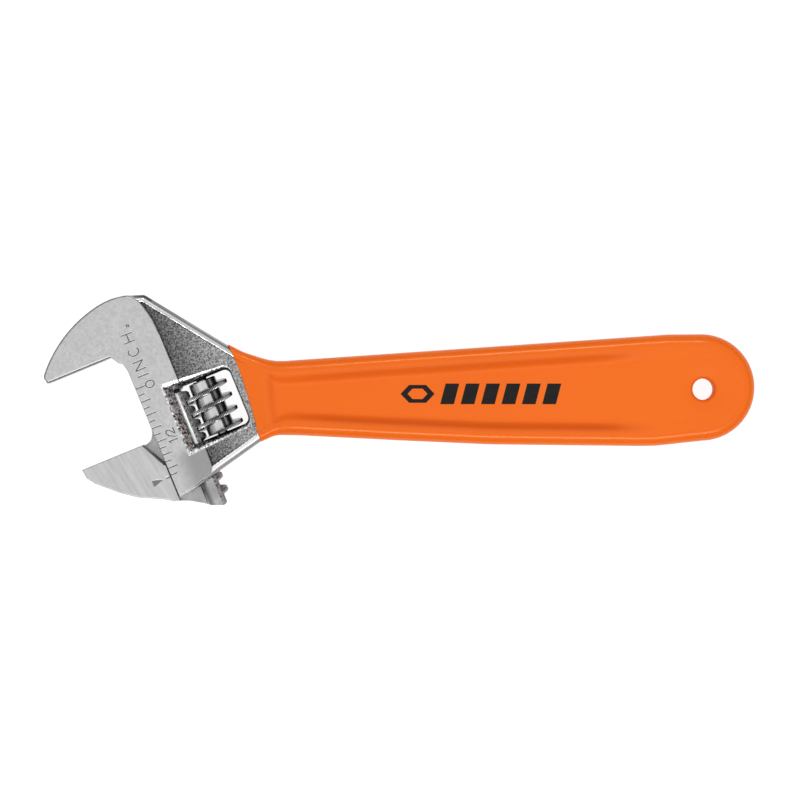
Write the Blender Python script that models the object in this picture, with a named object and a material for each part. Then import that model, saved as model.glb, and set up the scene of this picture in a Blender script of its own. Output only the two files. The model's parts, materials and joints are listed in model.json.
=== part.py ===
"""Six-inch adjustable wrench with a dipped grip, lying flat with its jaws to the left.

The forged body carries the fixed jaw. The movable jaw slides in a keyhole slot in the head, and a
worm on a screwed pin, held off one wall of its window by a small spring, meshes with the rack on the
jaw's slide rod. A vinyl sleeve is dipped over the handle.

Frame: +X along the handle, +Y across it, +Z up through the thickness, origin under the middle.
Head frame: x along the jaw faces and y up the slide, from the inner end of the fixed jaw's face.
"""

import math

import bmesh
import bpy
from mathutils import Matrix, Vector

MM = 0.001

# Whole wrench
HEAD_THICKNESS = 11.0 * MM
HALF_HEAD = HEAD_THICKNESS / 2
SHIFT = Vector((-0.016 * MM, 0.0155 * MM))  # puts the origin under the middle of the wrench
JAW_ANGLE = math.radians(22.3)
HEAD_AT = Vector((-64.8 * MM, 9.28 * MM))
CROWN_CENTRE = (5.0 * MM, -4.2 * MM)  # the head's edge is two arcs, tangent at CROWN_END degrees
CROWN_RADIUS = 16.2 * MM
CROWN_END = 101
JAW_BACK_CENTRE = (7.52 * MM, -17.06 * MM)
JAW_BACK_RADIUS = 29.3 * MM
REST_OPENING = 20.8 * MM
CUT_MARGIN = 4.0 * MM  # how far a cutter runs past what it cuts

# Slide: rod, web and rack of the movable jaw, and the keyhole slot that they run in
ROD_RADIUS = 3.0 * MM
ROD_X = 10.53 * MM
ROD_TOP = -12.75 * MM
ROD_POINT_RADIUS = 1.2 * MM
ROD_POINT_LENGTH = 1.8 * MM
SLIDE_LOW = -43.0 * MM  # below the foot, before it is trimmed
WEB_THICKNESS = 3.2 * MM
RACK_ROOT_X = 11.02 * MM
SLIDE_CLEARANCE = 0.2 * MM
SLIDE_END_GAP = 0.3 * MM
MOVABLE_THICKNESS = 10.6 * MM

# Worm drive
WORM_X = 17.13 * MM
WORM_RADIUS = 5.25 * MM
WORM_CORE_RADIUS = 3.18 * MM
WORM_TOP = -12.4 * MM
WORM_BOTTOM = -24.7 * MM
PITCH = 3.175 * MM
CREST_AT_RACK = -15.95 * MM  # height of a crest of the thread on the side of the rack
CREST_WIDTH = 1.1 * MM
THREAD_BASE_WIDTH = 1.6 * MM
THREAD_STEPS = 24  # a turn
THREAD_ABOVE = 0.71  # turns of thread above that crest, and below it
THREAD_BELOW = 3.0
TOOTH_AT = -14.37 * MM
TOOTH_TIP_WIDTH = 1.2 * MM
TOOTH_ROOT_WIDTH = 1.8 * MM
TOOTH_COUNT = 8
MESH_RADIUS = 4.4 * MM  # where the thread's slope is taken for the rack's teeth

# Window for the worm: its straight middle, and the drafted mouth on both faces
WINDOW_LEFT = 10.2 * MM
WINDOW_RIGHT = 23.75 * MM
WINDOW_TOP = -12.05 * MM
WINDOW_BOTTOM = -25.0 * MM
WINDOW_CORNER = 1.0 * MM
MOUTH_DEPTH = 2.6 * MM
MOUTH_LEFT = 1.7 * MM
MOUTH_ENDS = 1.5 * MM
MOUTH_RIGHT = 0.2 * MM

# Pin and spring
PIN_RADIUS = 1.25 * MM
PIN_TOP = -7.9 * MM
PIN_THREAD_RADIUS = 1.5 * MM
PIN_THREAD_TOP = -25.9 * MM
PIN_BOTTOM = -31.2 * MM
PIN_SLOT_WIDTH = 0.5 * MM
PIN_SLOT_DEPTH = 0.9 * MM
PIN_GAP = 0.2 * MM
SPRING_POCKET_RADIUS = 2.3 * MM
SPRING_POCKET_DEPTH = 5.0 * MM
SPRING_RADIUS = 1.85 * MM
SPRING_WIRE = 0.2 * MM  # radius of the wire
SPRING_TURNS = 4.5

# Handle, under the grip
EDGE_RUN = 1.3 * MM  # how far in from the outline the forged edge reaches full height
RIM_CREST = 0.4 * MM
RIM_WALL = 0.8 * MM
HANDLE_RIM = 3.75 * MM  # half thicknesses
HANDLE_WEB = 2.2 * MM
NECK_RIM = 5.1 * MM
NECK_WEB = 4.4 * MM
END_CENTRE = Vector((67.35 * MM, 2.78 * MM))
END_RADIUS = 10.15 * MM
METAL_HOLE_RADIUS = 3.6 * MM
HOLE_AT = Vector((67.76 * MM, 2.39 * MM))

# Grip
GRIP_GAP = 0.3 * MM
GRIP_OUT = 1.75 * MM  # the skin's height above the handle
GRIP_EDGE_OUT = 0.65 * MM
GRIP_START = -34.6 * MM
GRIP_SLANT = math.radians(18)
GRIP_SWELL = 10.0 * MM  # length over which the dip comes up to full thickness
GRIP_HOLE_RADIUS = 2.4 * MM


def clear_scene():
    for obj in list(bpy.data.objects):
        bpy.data.objects.remove(obj)


def make_collection(name):
    collection = bpy.data.collections.new(name)
    bpy.context.scene.collection.children.link(collection)
    return collection


def make_material(name, colour, roughness, metallic):
    material = bpy.data.materials.new(name)
    material.use_nodes = True
    shader = material.node_tree.nodes["Principled BSDF"]
    shader.inputs["Base Color"].default_value = (*colour, 1.0)
    shader.inputs["Roughness"].default_value = roughness
    shader.inputs["Metallic"].default_value = metallic
    return material


def make_frame(name, location, turn=0.0, parent=None):
    empty = bpy.data.objects.new(name, None)
    parts.objects.link(empty)
    empty.location = location
    empty.rotation_euler = (0.0, 0.0, turn)
    empty.parent = parent
    return empty


def new_object(name, mesh, parent, collection):
    obj = bpy.data.objects.new(name, mesh)
    collection.objects.link(obj)
    obj.parent = parent
    if collection is cutters:
        obj.hide_render = True
        obj.display_type = "WIRE"
    return obj


def mesh_from(bm, name):
    bmesh.ops.recalc_face_normals(bm, faces=bm.faces)
    mesh = bpy.data.meshes.new(name)
    bm.to_mesh(mesh)
    bm.free()
    return mesh


def arc(centre, radius, start, end, steps):
    """Points on an arc, its angles in degrees."""
    angles = [math.radians(start + (end - start) * i / steps) for i in range(steps + 1)]
    return [Vector((centre[0] + radius * math.cos(a), centre[1] + radius * math.sin(a))) for a in angles]


def rounded(corners, step=math.radians(10)):
    """An open path through corners (x, y, radius) in millimetres, each rounded by an arc of its radius."""
    points = [Vector(c[:2]) * MM for c in corners]
    path = [points[0]]
    for i in range(1, len(corners) - 1):
        radius = corners[i][2] * MM
        before = (points[i - 1] - points[i]).normalized()
        after = (points[i + 1] - points[i]).normalized()
        turn = math.pi - before.angle(after)
        if radius == 0 or turn < 1e-3:
            path.append(points[i])
            continue
        reach = radius * math.tan(turn / 2)
        centre = points[i] + (before + after).normalized() * (radius / math.cos(turn / 2))
        start = points[i] + before * reach - centre
        sense = 1 if before.x * after.y - before.y * after.x < 0 else -1
        steps = max(2, math.ceil(turn / step))
        for k in range(steps + 1):
            path.append(centre + Matrix.Rotation(sense * turn * k / steps, 2) @ start)
    path.append(points[-1])
    return path


def plate(name, outline, thickness, parent, collection):
    """A flat outline filled and extruded either side of the parent's XY plane, as a mesh."""
    curve = bpy.data.curves.new(name, "CURVE")
    curve.dimensions = "2D"
    curve.fill_mode = "BOTH"
    curve.extrude = thickness / 2
    spline = curve.splines.new("POLY")
    spline.points.add(len(outline) - 1)
    for point, place in zip(spline.points, outline):
        point.co = (place[0], place[1], 0.0, 1.0)
    spline.use_cyclic_u = True
    guide = bpy.data.objects.new(name + "_guide", curve)
    cutters.objects.link(guide)
    graph = bpy.context.evaluated_depsgraph_get()
    mesh = bpy.data.meshes.new_from_object(guide.evaluated_get(graph))
    bpy.data.objects.remove(guide)
    bm = bmesh.new()
    bm.from_mesh(mesh)
    bmesh.ops.remove_doubles(bm, verts=bm.verts, dist=1e-6)
    bmesh.ops.dissolve_limit(bm, angle_limit=1e-3, verts=bm.verts, edges=bm.edges)
    bpy.data.meshes.remove(mesh)
    return new_object(name, mesh_from(bm, name), parent, collection)


def block(name, low, high, parent, collection, turn=0.0):
    """A box from low to high, turned about z at its middle."""
    bm = bmesh.new()
    bmesh.ops.create_cube(bm, size=1.0)
    bmesh.ops.scale(bm, vec=[h - l for l, h in zip(low, high)], verts=bm.verts)
    obj = new_object(name, mesh_from(bm, name), parent, collection)
    obj.location = [(l + h) / 2 for l, h in zip(low, high)]
    obj.rotation_euler = (0.0, 0.0, turn)
    return obj


def loft(name, rings, parent, collection):
    """A closed solid through rings of equally many points, with a flat cap on each end."""
    bm = bmesh.new()
    layers = [[bm.verts.new(p) for p in ring] for ring in rings]
    count = len(rings[0])
    for near, far in zip(layers, layers[1:]):
        for i in range(count):
            k = (i + 1) % count
            bm.faces.new((near[i], near[k], far[k], far[i]))
    bm.faces.new(layers[0])
    bm.faces.new(layers[-1])
    return new_object(name, mesh_from(bm, name), parent, collection)


def combine(target, tool, operation):
    modifier = target.modifiers.new(f"{operation.lower()}_{tool.name}", "BOOLEAN")
    modifier.operation = operation
    modifier.object = tool


def finish(obj, material, smooth_below=32):
    obj.data.materials.clear()
    obj.data.materials.append(material)
    obj.data.shade_smooth()
    obj.data.set_sharp_from_angle(angle=math.radians(smooth_below))


def ease(value, start, end):
    """0 before start, 1 after end, and a smooth step between."""
    share = min(1.0, max(0.0, (value - start) / (end - start)))
    return share * share * (3 - 2 * share)


def to_wrench(point):
    """A head-frame point in the wrench's own plan."""
    return HEAD_AT + Matrix.Rotation(JAW_ANGLE, 2) @ Vector(point[:2])


# The handle's plan. Its outline is two edges, from the head to the round end.


def top_edge():
    crown = [to_wrench(p) for p in arc(CROWN_CENTRE, CROWN_RADIUS, 100, 67, 6)]
    side = rounded(
        [(-57.0, 23.45, 0), (-29.1, 6.6, 16), (60.0, 12.85, 60), (70.0, 12.9, 0)], math.radians(5)
    )
    return crown + side


def bottom_edge():
    side = rounded(
        [(-47.6, -21.4, 0), (-44.6, -19.2, 8), (-26.6, -6.15, 11), (0.1, -7.3, 200), (35.0, -8.45, 100),
         (57.0, -8.6, 30), (70.0, -7.2, 0)], math.radians(5)
    )
    return side


def crossing(path, origin, direction):
    """How far along a line from origin the path crosses it, or None."""
    across = Vector((-direction.y, direction.x))
    offsets = [(p - origin).dot(across) for p in path]
    for i, (near, far) in enumerate(zip(offsets, offsets[1:])):
        if near * far <= 0 and near != far:
            share = near / (near - far)
            return (path[i].lerp(path[i + 1], share) - origin).dot(direction)
    return None


def slant_at(x):
    """The stations lean with the slide at the head, with the grip's edge at the neck, then stand square."""
    head_to_neck = JAW_ANGLE + (GRIP_SLANT - JAW_ANGLE) * ease(x, -48 * MM, GRIP_START)
    return head_to_neck * (1 - ease(x, GRIP_START, 5 * MM))


def rim_height(x):
    return HANDLE_RIM + (NECK_RIM - HANDLE_RIM) * (1 - ease(x, -52 * MM, -33 * MM))


def web_height(x):
    neck = HANDLE_RIM + (NECK_WEB - HANDLE_RIM) * (1 - ease(x, -50 * MM, -38 * MM))
    dip = ease(x, -29.5 * MM, -26.0 * MM) * (1 - ease(x, 40 * MM, 58 * MM))
    return neck + (HANDLE_WEB - neck) * dip


def section_height(depth, rim, web, edge_run, crest, wall):
    """Half thickness at a depth in from the outline: rolled edge, rim, then down to the web."""
    if depth < edge_run:
        return rim * math.sqrt(max(0.0, 1 - (1 - depth / edge_run) ** 2))
    return rim + (web - rim) * ease(depth, edge_run + crest, edge_run + crest + wall)


def station(x, grow, sizes):
    """A ring of points round the handle at x along its middle, grown, with the edge sizes given."""
    slant = slant_at(x)
    middle = Vector((x, 2.0 * MM * ease(x, 0.0, 60 * MM) + 0.5 * MM))
    up = Vector((-math.sin(slant), math.cos(slant)))
    reach = END_RADIUS + grow
    if x > END_CENTRE.x:
        half = math.sqrt(max(0.0, reach**2 - (x - END_CENTRE.x) ** 2))
        top, bottom = END_CENTRE.y - middle.y + half, END_CENTRE.y - middle.y - half
    else:
        top = crossing(TOP_EDGE, middle, up) + grow
        bottom = crossing(BOTTOM_EDGE, middle, up) - grow
    edge_run, crest, wall = sizes
    full = edge_run + crest + wall
    depths = [edge_run * s for s in (0.0, 0.03, 0.13, 0.3, 0.6, 1.0)]
    depths += [edge_run + crest, edge_run + crest + wall / 2, full]
    room = min(1.0, 0.46 * (top - bottom) / full)
    places = [top - d * room for d in depths] + [bottom + d * room for d in reversed(depths)]
    ring = []
    for place in places:
        point = middle + up * place
        depth = min(top - place, place - bottom)
        if x > END_CENTRE.x:
            depth = reach - (point - END_CENTRE).length
        height = section_height(depth, rim_height(x) + grow, web_height(x) + grow, *sizes)
        ring.append(Vector((point.x, point.y, height)))
    lower = [Vector((p.x, p.y, -p.z)) for p in reversed(ring[1:-1])]
    return ring + lower


def handle_stations(grow):
    """Where the handle's rings stand: close at the grip's edge and round the end, even between."""
    neck = [x * MM for x in (-35.5, -33.5, -31.8, -30.4, -29.2, -28.0, -26.8, -25.4, -23.0, -18.0, -10.0)]
    along = [x * MM for x in range(0, 61, 10)]
    turns = [math.radians(a) for a in (0, 15, 30, 45, 57, 67, 75, 81, 85.5, 88.5)]
    return neck + along + [END_CENTRE.x + (END_RADIUS + grow) * math.sin(a) for a in turns]


# The pieces


def head_outline():
    """The ground plate of the head and fixed jaw, in the head frame."""
    throat = rounded(
        [(-14.75, 0.0, 0), (0.45, 0.0, 0), (1.75, -2.05, 0.4), (2.35, -2.15, 0.4), (2.87, -4.3, 3),
         (2.9, -34.6, 0), (6.0, -34.3, 10), (12.5, -32.1, 0.8), (12.5, 8.3, 3), (9.0, 11.5, 0)]
    )
    crown = arc(CROWN_CENTRE, CROWN_RADIUS, 75, CROWN_END, 5)
    back = arc(JAW_BACK_CENTRE, JAW_BACK_RADIUS, CROWN_END, 139.2, 8)
    tip = rounded([(-14.7, 2.05, 0), (-15.05, 1.34, 0.8), (-14.75, 0.0, 0)])
    return throat + crown[1:] + back[1:] + tip[:-1]


def window_ring(grown, z):
    """The worm window's outline at one level; grown is 0 in the straight middle and 1 at the cheeks."""
    left = WINDOW_LEFT - MOUTH_LEFT * grown
    right = WINDOW_RIGHT + MOUTH_RIGHT * grown
    top = WINDOW_TOP + MOUTH_ENDS * grown
    bottom = WINDOW_BOTTOM - MOUTH_ENDS * grown
    ring = [(left, bottom), (left, top)]
    ring += arc((right - WINDOW_CORNER, top - WINDOW_CORNER), WINDOW_CORNER, 90, 0, 4)
    ring += arc((right - WINDOW_CORNER, bottom + WINDOW_CORNER), WINDOW_CORNER, 0, -90, 4)
    return [Vector((p[0], p[1], z)) for p in ring]


def turned_along_y(name, x, levels, parent, collection, segments=32):
    """A round solid along the head frame's y, through (radius, y) levels."""
    rings = [[Vector((x + p.x, y, p.y)) for p in arc((0, 0), r, 0, 360, segments)[:-1]] for r, y in levels]
    return loft(name, rings, parent, collection)


def pointed_rod(name, grown, high, low, parent, collection):
    """The slide rod with its blunt point, or the bore for it."""
    levels = [
        (ROD_RADIUS + grown, low),
        (ROD_RADIUS + grown, high - ROD_POINT_LENGTH),
        (ROD_POINT_RADIUS + grown, high),
    ]
    return turned_along_y(name, ROD_X, levels, parent, collection)


def make_body():
    """Fixed jaw, head and handle: one forging. A lofted handle and neck joined to the ground plate."""
    sizes = (EDGE_RUN, RIM_CREST, RIM_WALL)
    stations = [x * MM for x in (-55.5, -52.5, -49.5, -46.5, -43.5, -40.5, -37.5)]
    stations += handle_stations(0.0)
    body = loft("wrench_body", [station(x, 0.0, sizes) for x in stations], wrench_frame, parts)
    combine(body, plate("head_plate", head_outline(), HEAD_THICKNESS, head_frame, cutters), "UNION")

    past = HALF_HEAD + CUT_MARGIN
    mouth = 1 + CUT_MARGIN / MOUTH_DEPTH
    inner = HALF_HEAD - MOUTH_DEPTH
    layers = [(mouth, -past), (0.0, -inner), (0.0, inner), (mouth, past)]
    window = loft("worm_window", [window_ring(*layer) for layer in layers], head_frame, cutters)

    travel = REST_OPENING + SLIDE_END_GAP
    bore = pointed_rod("slide_bore", SLIDE_CLEARANCE, ROD_TOP + travel, SLIDE_LOW, head_frame, cutters)
    web_half = WEB_THICKNESS / 2 + SLIDE_CLEARANCE
    web_slot = block(
        "web_slot", (-1.0 * MM, SLIDE_LOW, -web_half), (ROD_X, 3.8 * MM, web_half), head_frame, cutters
    )
    tip_bore = turned_along_y(
        "pin_tip_bore", WORM_X,
        [(PIN_RADIUS + PIN_GAP, WINDOW_TOP - 1 * MM), (PIN_RADIUS + PIN_GAP, PIN_TOP + SLIDE_END_GAP)],
        head_frame, cutters, 24,
    )
    screw_bore = turned_along_y(
        "pin_screw_bore", WORM_X,
        [(PIN_THREAD_RADIUS + PIN_GAP, SLIDE_LOW), (PIN_THREAD_RADIUS + PIN_GAP, WINDOW_BOTTOM + 1 * MM)],
        head_frame, cutters, 24,
    )
    for tool in (window, bore, web_slot, tip_bore, screw_bore):
        combine(body, tool, "DIFFERENCE")
    combine(body, hole_tool("metal_hole", METAL_HOLE_RADIUS), "DIFFERENCE")
    finish(body, steel)
    return body


def hole_tool(name, radius):
    """An upright cylinder through the hang hole."""
    bm = bmesh.new()
    bmesh.ops.create_cone(
        bm, cap_ends=True, segments=32, radius1=radius, radius2=radius, depth=HEAD_THICKNESS * 2
    )
    tool = new_object(name, mesh_from(bm, name), wrench_frame, cutters)
    tool.location = (HOLE_AT.x, HOLE_AT.y, 0.0)
    return tool


def coat_at(x):
    return GRIP_EDGE_OUT + (GRIP_OUT - GRIP_EDGE_OUT) * ease(x, GRIP_START, GRIP_START + GRIP_SWELL)


def make_grip():
    """The dipped sleeve: an outer skin hollowed by the handle's own shape, and lining the hang hole."""
    outer_sizes = (2.3 * MM, 0.3 * MM, 1.8 * MM)
    stations = [GRIP_START] + [x for x in handle_stations(GRIP_OUT) if x > GRIP_START + 0.5 * MM]
    outer = [station(x, coat_at(x), outer_sizes) for x in stations]
    grip = loft("grip", outer, wrench_frame, parts)

    inner_sizes = (EDGE_RUN + GRIP_GAP, RIM_CREST, RIM_WALL)
    inner_stations = [-37.5 * MM] + handle_stations(GRIP_GAP)
    inner = [station(x, GRIP_GAP, inner_sizes) for x in inner_stations]
    cavity = loft("handle_cavity", inner, wrench_frame, cutters)
    combine(cavity, hole_tool("hole_lining", METAL_HOLE_RADIUS - GRIP_GAP), "DIFFERENCE")
    combine(grip, cavity, "DIFFERENCE")
    combine(grip, hole_tool("grip_hole", GRIP_HOLE_RADIUS), "DIFFERENCE")
    finish(grip, vinyl)
    return grip


def tooth_gap(index):
    """The space under one rack tooth, cut through the back of the slide rod along the worm's lead.

    Index -1 is the space above the first tooth, which clears the thread at the widest opening.
    """
    upper = TOOTH_AT - PITCH * index
    lower = upper - PITCH
    tip_x = ROD_X + ROD_RADIUS
    past_x = tip_x + 1 * MM
    widen = (TOOTH_ROOT_WIDTH - TOOTH_TIP_WIDTH) / 2 / (tip_x - RACK_ROOT_X)
    outer = TOOTH_TIP_WIDTH / 2 - widen * (past_x - tip_x)
    outline = [
        (RACK_ROOT_X, upper - TOOTH_ROOT_WIDTH / 2),
        (RACK_ROOT_X, lower + TOOTH_ROOT_WIDTH / 2),
        (past_x, lower + outer),
        (past_x, upper - outer),
    ]
    gap = plate(f"tooth_gap_{index + 1}", outline, ROD_RADIUS * 3, head_frame, cutters)
    lean = PITCH / (2 * math.pi * MESH_RADIUS)
    for vertex in gap.data.vertices:
        vertex.co.y += lean * vertex.co.z
    return gap


def make_movable_jaw():
    """The movable jaw: a wedge plate, and a web that joins it to the slide rod and its rack."""
    face = -REST_OPENING / MM
    wedge = rounded(
        [(-14.95, face, 0), (-0.85, face, 0), (2.65, face - 6.1, 0), (2.65, -35.9, 0), (-0.9, -33.5, 3),
         (-5.6, -31.3, 8), (-9.3, -28.5, 12), (-13.4, -24.7, 0), (-14.65, -22.9, 1), (-14.95, face, 0)]
    )[:-1]
    jaw = plate("movable_jaw", wedge, MOVABLE_THICKNESS, head_frame, parts)
    web = rounded(
        [(-3.0, face - 3.0, 0), (-0.4, face - 0.4, 0), (1.7, face + 0.3, 1.2), (2.5, face + 1.6, 2),
         (2.9, face + 3.4, 0), (ROD_X / MM, face + 3.4, 0), (ROD_X / MM, -42.0, 0), (-3.0, -31.5, 0)]
    )
    combine(jaw, plate("jaw_web", web, WEB_THICKNESS, head_frame, cutters), "UNION")
    combine(jaw, pointed_rod("slide_rod", 0.0, ROD_TOP, SLIDE_LOW, head_frame, cutters), "UNION")
    for index in range(-1, TOOTH_COUNT):
        combine(jaw, tooth_gap(index), "DIFFERENCE")
    combine(jaw, plate("foot_trim", foot_outline(), HEAD_THICKNESS * 2, head_frame, cutters), "DIFFERENCE")
    finish(jaw, steel)
    return jaw


def foot_outline():
    """What is cut away below the slanted foot of the slide."""
    return rounded(
        [(1.5, -34.9, 0), (4.7, -36.3, 3), (7.4, -38.0, 3), (8.7, -39.0, 0), (11.6, -40.15, 0.8),
         (12.3, -39.3, 0), (16.0, -39.3, 0), (16.0, -50.0, 0), (1.5, -50.0, 0)]
    )


def make_worm():
    """A cored cylinder with one right-hand thread, cut square at its low end, its origin in its middle."""
    middle = (WORM_TOP + WORM_BOTTOM) / 2
    worm = turned_along_y(
        "worm", 0.0, [(WORM_CORE_RADIUS, WORM_BOTTOM - middle), (WORM_CORE_RADIUS, WORM_TOP - middle)],
        worm_frame, parts,
    )
    rings = []
    for step in range(-round(THREAD_BELOW * THREAD_STEPS), round(THREAD_ABOVE * THREAD_STEPS) + 1):
        angle = 2 * math.pi * step / THREAD_STEPS
        level = CREST_AT_RACK - middle + PITCH * step / THREAD_STEPS
        ring = []
        base = WORM_CORE_RADIUS - 0.6 * MM
        grown = THREAD_BASE_WIDTH + 0.2 * MM
        profile = ((base, -grown), (WORM_RADIUS, -CREST_WIDTH), (WORM_RADIUS, CREST_WIDTH), (base, grown))
        for radius, width in profile:
            ring.append(Vector((-radius * math.cos(angle), level + width / 2, radius * math.sin(angle))))
        rings.append(ring)
    combine(worm, loft("worm_thread", rings, worm_frame, cutters), "UNION")
    low_end = turned_along_y(
        "worm_low_end", 0.0, [(10 * MM, -20 * MM), (10 * MM, WORM_BOTTOM - middle)], worm_frame, cutters
    )
    combine(worm, low_end, "DIFFERENCE")
    bore = turned_along_y(
        "worm_bore", 0.0, [(PIN_RADIUS + PIN_GAP, -20 * MM), (PIN_RADIUS + PIN_GAP, 20 * MM)],
        worm_frame, cutters, 24,
    )
    combine(worm, bore, "DIFFERENCE")
    pocket = turned_along_y(
        "spring_pocket", 0.0,
        [(SPRING_POCKET_RADIUS, WORM_TOP - middle - SPRING_POCKET_DEPTH), (SPRING_POCKET_RADIUS, 20 * MM)],
        worm_frame, cutters, 24,
    )
    combine(worm, pocket, "DIFFERENCE")
    finish(worm, bright_steel)
    return worm


def make_pin():
    """The worm's pin: a plain journal, then the screwed end with its slot, flush with the head's edge."""
    pin = turned_along_y(
        "worm_pin", WORM_X,
        [(PIN_THREAD_RADIUS, PIN_BOTTOM), (PIN_THREAD_RADIUS, PIN_THREAD_TOP),
         (PIN_RADIUS, PIN_THREAD_TOP), (PIN_RADIUS, PIN_TOP)],
        head_frame, parts, 24,
    )
    slot = block(
        "pin_slot", (WORM_X - 3 * MM, PIN_BOTTOM - 1 * MM, -PIN_SLOT_WIDTH / 2),
        (WORM_X + 3 * MM, PIN_BOTTOM + PIN_SLOT_DEPTH, PIN_SLOT_WIDTH / 2), head_frame, cutters,
    )
    combine(pin, slot, "DIFFERENCE")
    finish(pin, steel)
    return pin


def make_spring():
    """The coil spring round the pin, in the worm's pocket, as a wire along a helix."""
    low = WORM_TOP - SPRING_POCKET_DEPTH + 0.3 * MM + SPRING_WIRE
    high = WINDOW_TOP - 0.1 * MM - SPRING_WIRE
    steps = 16
    total = int(SPRING_TURNS * steps)
    curve = bpy.data.curves.new("worm_spring", "CURVE")
    curve.dimensions = "3D"
    curve.bevel_depth = SPRING_WIRE
    curve.bevel_resolution = 1
    curve.use_fill_caps = True
    spline = curve.splines.new("POLY")
    spline.points.add(total)
    for i, point in enumerate(spline.points):
        angle = 2 * math.pi * i / steps
        level = low + (high - low) * i / total
        point.co = (WORM_X + SPRING_RADIUS * math.cos(angle), level, SPRING_RADIUS * math.sin(angle), 1.0)
    spring = new_object("worm_spring", curve, head_frame, parts)
    curve.materials.append(bright_steel)
    return spring


clear_scene()
parts = make_collection("adjustable_wrench")
cutters = make_collection("cutters")
steel = make_material("Ground steel", (0.50, 0.50, 0.49), 0.38, 1.0)
bright_steel = make_material("Bright worm steel", (0.36, 0.35, 0.34), 0.30, 1.0)
vinyl = make_material("Orange vinyl", (0.88, 0.16, 0.02), 0.32, 0.0)

wrench_frame = make_frame("wrench_frame", (SHIFT.x, SHIFT.y, HALF_HEAD))
head_frame = make_frame("head_frame", (HEAD_AT.x, HEAD_AT.y, 0.0), JAW_ANGLE, wrench_frame)
worm_frame = make_frame("worm_frame", (WORM_X, (WORM_TOP + WORM_BOTTOM) / 2, 0.0), 0.0, head_frame)
TOP_EDGE = top_edge()
BOTTOM_EDGE = bottom_edge()

make_body()
make_grip()
make_movable_jaw()
make_worm()
make_pin()
make_spring()
bpy.context.view_layer.update()
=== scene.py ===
"""Look scene for the adjustable wrench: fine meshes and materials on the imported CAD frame.

Plans are drawn in millimetres, in the wrench's own plan or in the head's frame (x along the jaw
faces, y up the slide, from the inner end of the fixed jaw's face), with z from the mid-plane.
"""

import json
import math

import bmesh
import bpy
import numpy as np
from mathutils import Matrix, Vector
from mathutils.geometry import delaunay_2d_cdt


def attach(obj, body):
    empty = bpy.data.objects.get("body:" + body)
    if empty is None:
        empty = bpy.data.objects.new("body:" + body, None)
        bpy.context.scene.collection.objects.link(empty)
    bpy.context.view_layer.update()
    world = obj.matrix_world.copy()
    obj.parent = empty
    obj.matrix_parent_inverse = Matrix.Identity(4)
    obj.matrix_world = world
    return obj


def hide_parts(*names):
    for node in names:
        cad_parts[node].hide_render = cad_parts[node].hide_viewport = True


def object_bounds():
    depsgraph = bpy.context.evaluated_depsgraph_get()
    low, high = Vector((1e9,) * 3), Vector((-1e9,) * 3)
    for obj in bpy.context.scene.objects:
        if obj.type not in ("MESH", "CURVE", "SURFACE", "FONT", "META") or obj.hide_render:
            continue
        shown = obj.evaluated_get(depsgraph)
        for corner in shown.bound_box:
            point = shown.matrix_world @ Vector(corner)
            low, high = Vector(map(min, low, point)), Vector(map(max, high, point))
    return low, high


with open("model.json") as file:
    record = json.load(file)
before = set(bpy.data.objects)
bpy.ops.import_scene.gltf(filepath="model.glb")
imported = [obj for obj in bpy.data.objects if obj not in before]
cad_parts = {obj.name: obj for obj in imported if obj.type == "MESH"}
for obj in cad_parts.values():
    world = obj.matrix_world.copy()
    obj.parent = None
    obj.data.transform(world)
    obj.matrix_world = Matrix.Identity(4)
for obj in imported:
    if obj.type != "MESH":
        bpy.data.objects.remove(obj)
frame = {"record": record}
CAD_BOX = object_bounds()

# ---------------- the wrench's frame
RECORD = frame["record"]
FIXED_FACE = next(m for m in RECORD["mounts"] if m["name"] == "fixed_jaw_face")
JAW_ANGLE = math.atan2(FIXED_FACE["axis"][0], -FIXED_FACE["axis"][1])
HEAD_COS, HEAD_SIN = math.cos(JAW_ANGLE), math.sin(JAW_ANGLE)
FACE_MOUNT_X = -7.0  # the mount's place along the fixed jaw's face, in the head frame
HEAD_AT = np.array([-64.8, 9.28])
MOUNT_AT = np.array(FIXED_FACE["pos_m"][:2]) * 1000  # in millimetres
SHIFT = MOUNT_AT - HEAD_AT - FACE_MOUNT_X * np.array([HEAD_COS, HEAD_SIN])
SCALE_DOWN = 0.001  # millimetres to metres
HALF = (CAD_BOX[1].z - CAD_BOX[0].z) / 2 / SCALE_DOWN

# ---------------- sizes, in millimetres
ROD_X, ROD_RADIUS, ROD_TOP = 10.53, 3.0, -11.3
ROD_POINT_RADIUS, ROD_POINT_LENGTH = 1.2, 1.8
WEB_THICKNESS, SLIDE_GAP = 3.2, 0.2
OPENING, TRAVEL_UP = 20.8, 20.9
RACK_ROOT_X, PITCH = 11.02, 3.175
FIRST_TOOTH, TOOTH_TIP, TOOTH_ROOT, TEETH = -14.37, 1.1, 1.7, 7
MESH_RADIUS, GAP_RADIUS = 4.4, 5.62  # where the thread's lead is taken, and what clears the worm
JAW_HALF, JAW_EDGE_ROUND = 5.3, 0.22
CHAMFER_WIDTH, CHAMFER_FALL = 0.6, 1.1  # along the movable jaw's slanted edge
WORM_X, WORM_RADIUS, CORE_RADIUS = 17.13, 5.25, 3.18
WORM_TOP, WORM_BOTTOM, CREST_AT_RACK = -12.4, -24.7, -15.95
THREAD_FIRST, THREAD_LAST = -3.0, 0.71  # turns from the crest at the rack
SERRATIONS = 80  # in a turn
PIN_RADIUS, PIN_SCREW_RADIUS, PIN_TOP, PIN_BOTTOM = 1.25, 1.5, -7.9, -31.2
PIN_BORE_GAP, PIN_WORM_GAP = 0.2, 0.15
POCKET_RADIUS, POCKET_DEPTH = 2.3, 5.0
WINDOW = dict(left=10.5, right=23.75, top=-12.05, bottom=-25.0, corner=1.4)
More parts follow.
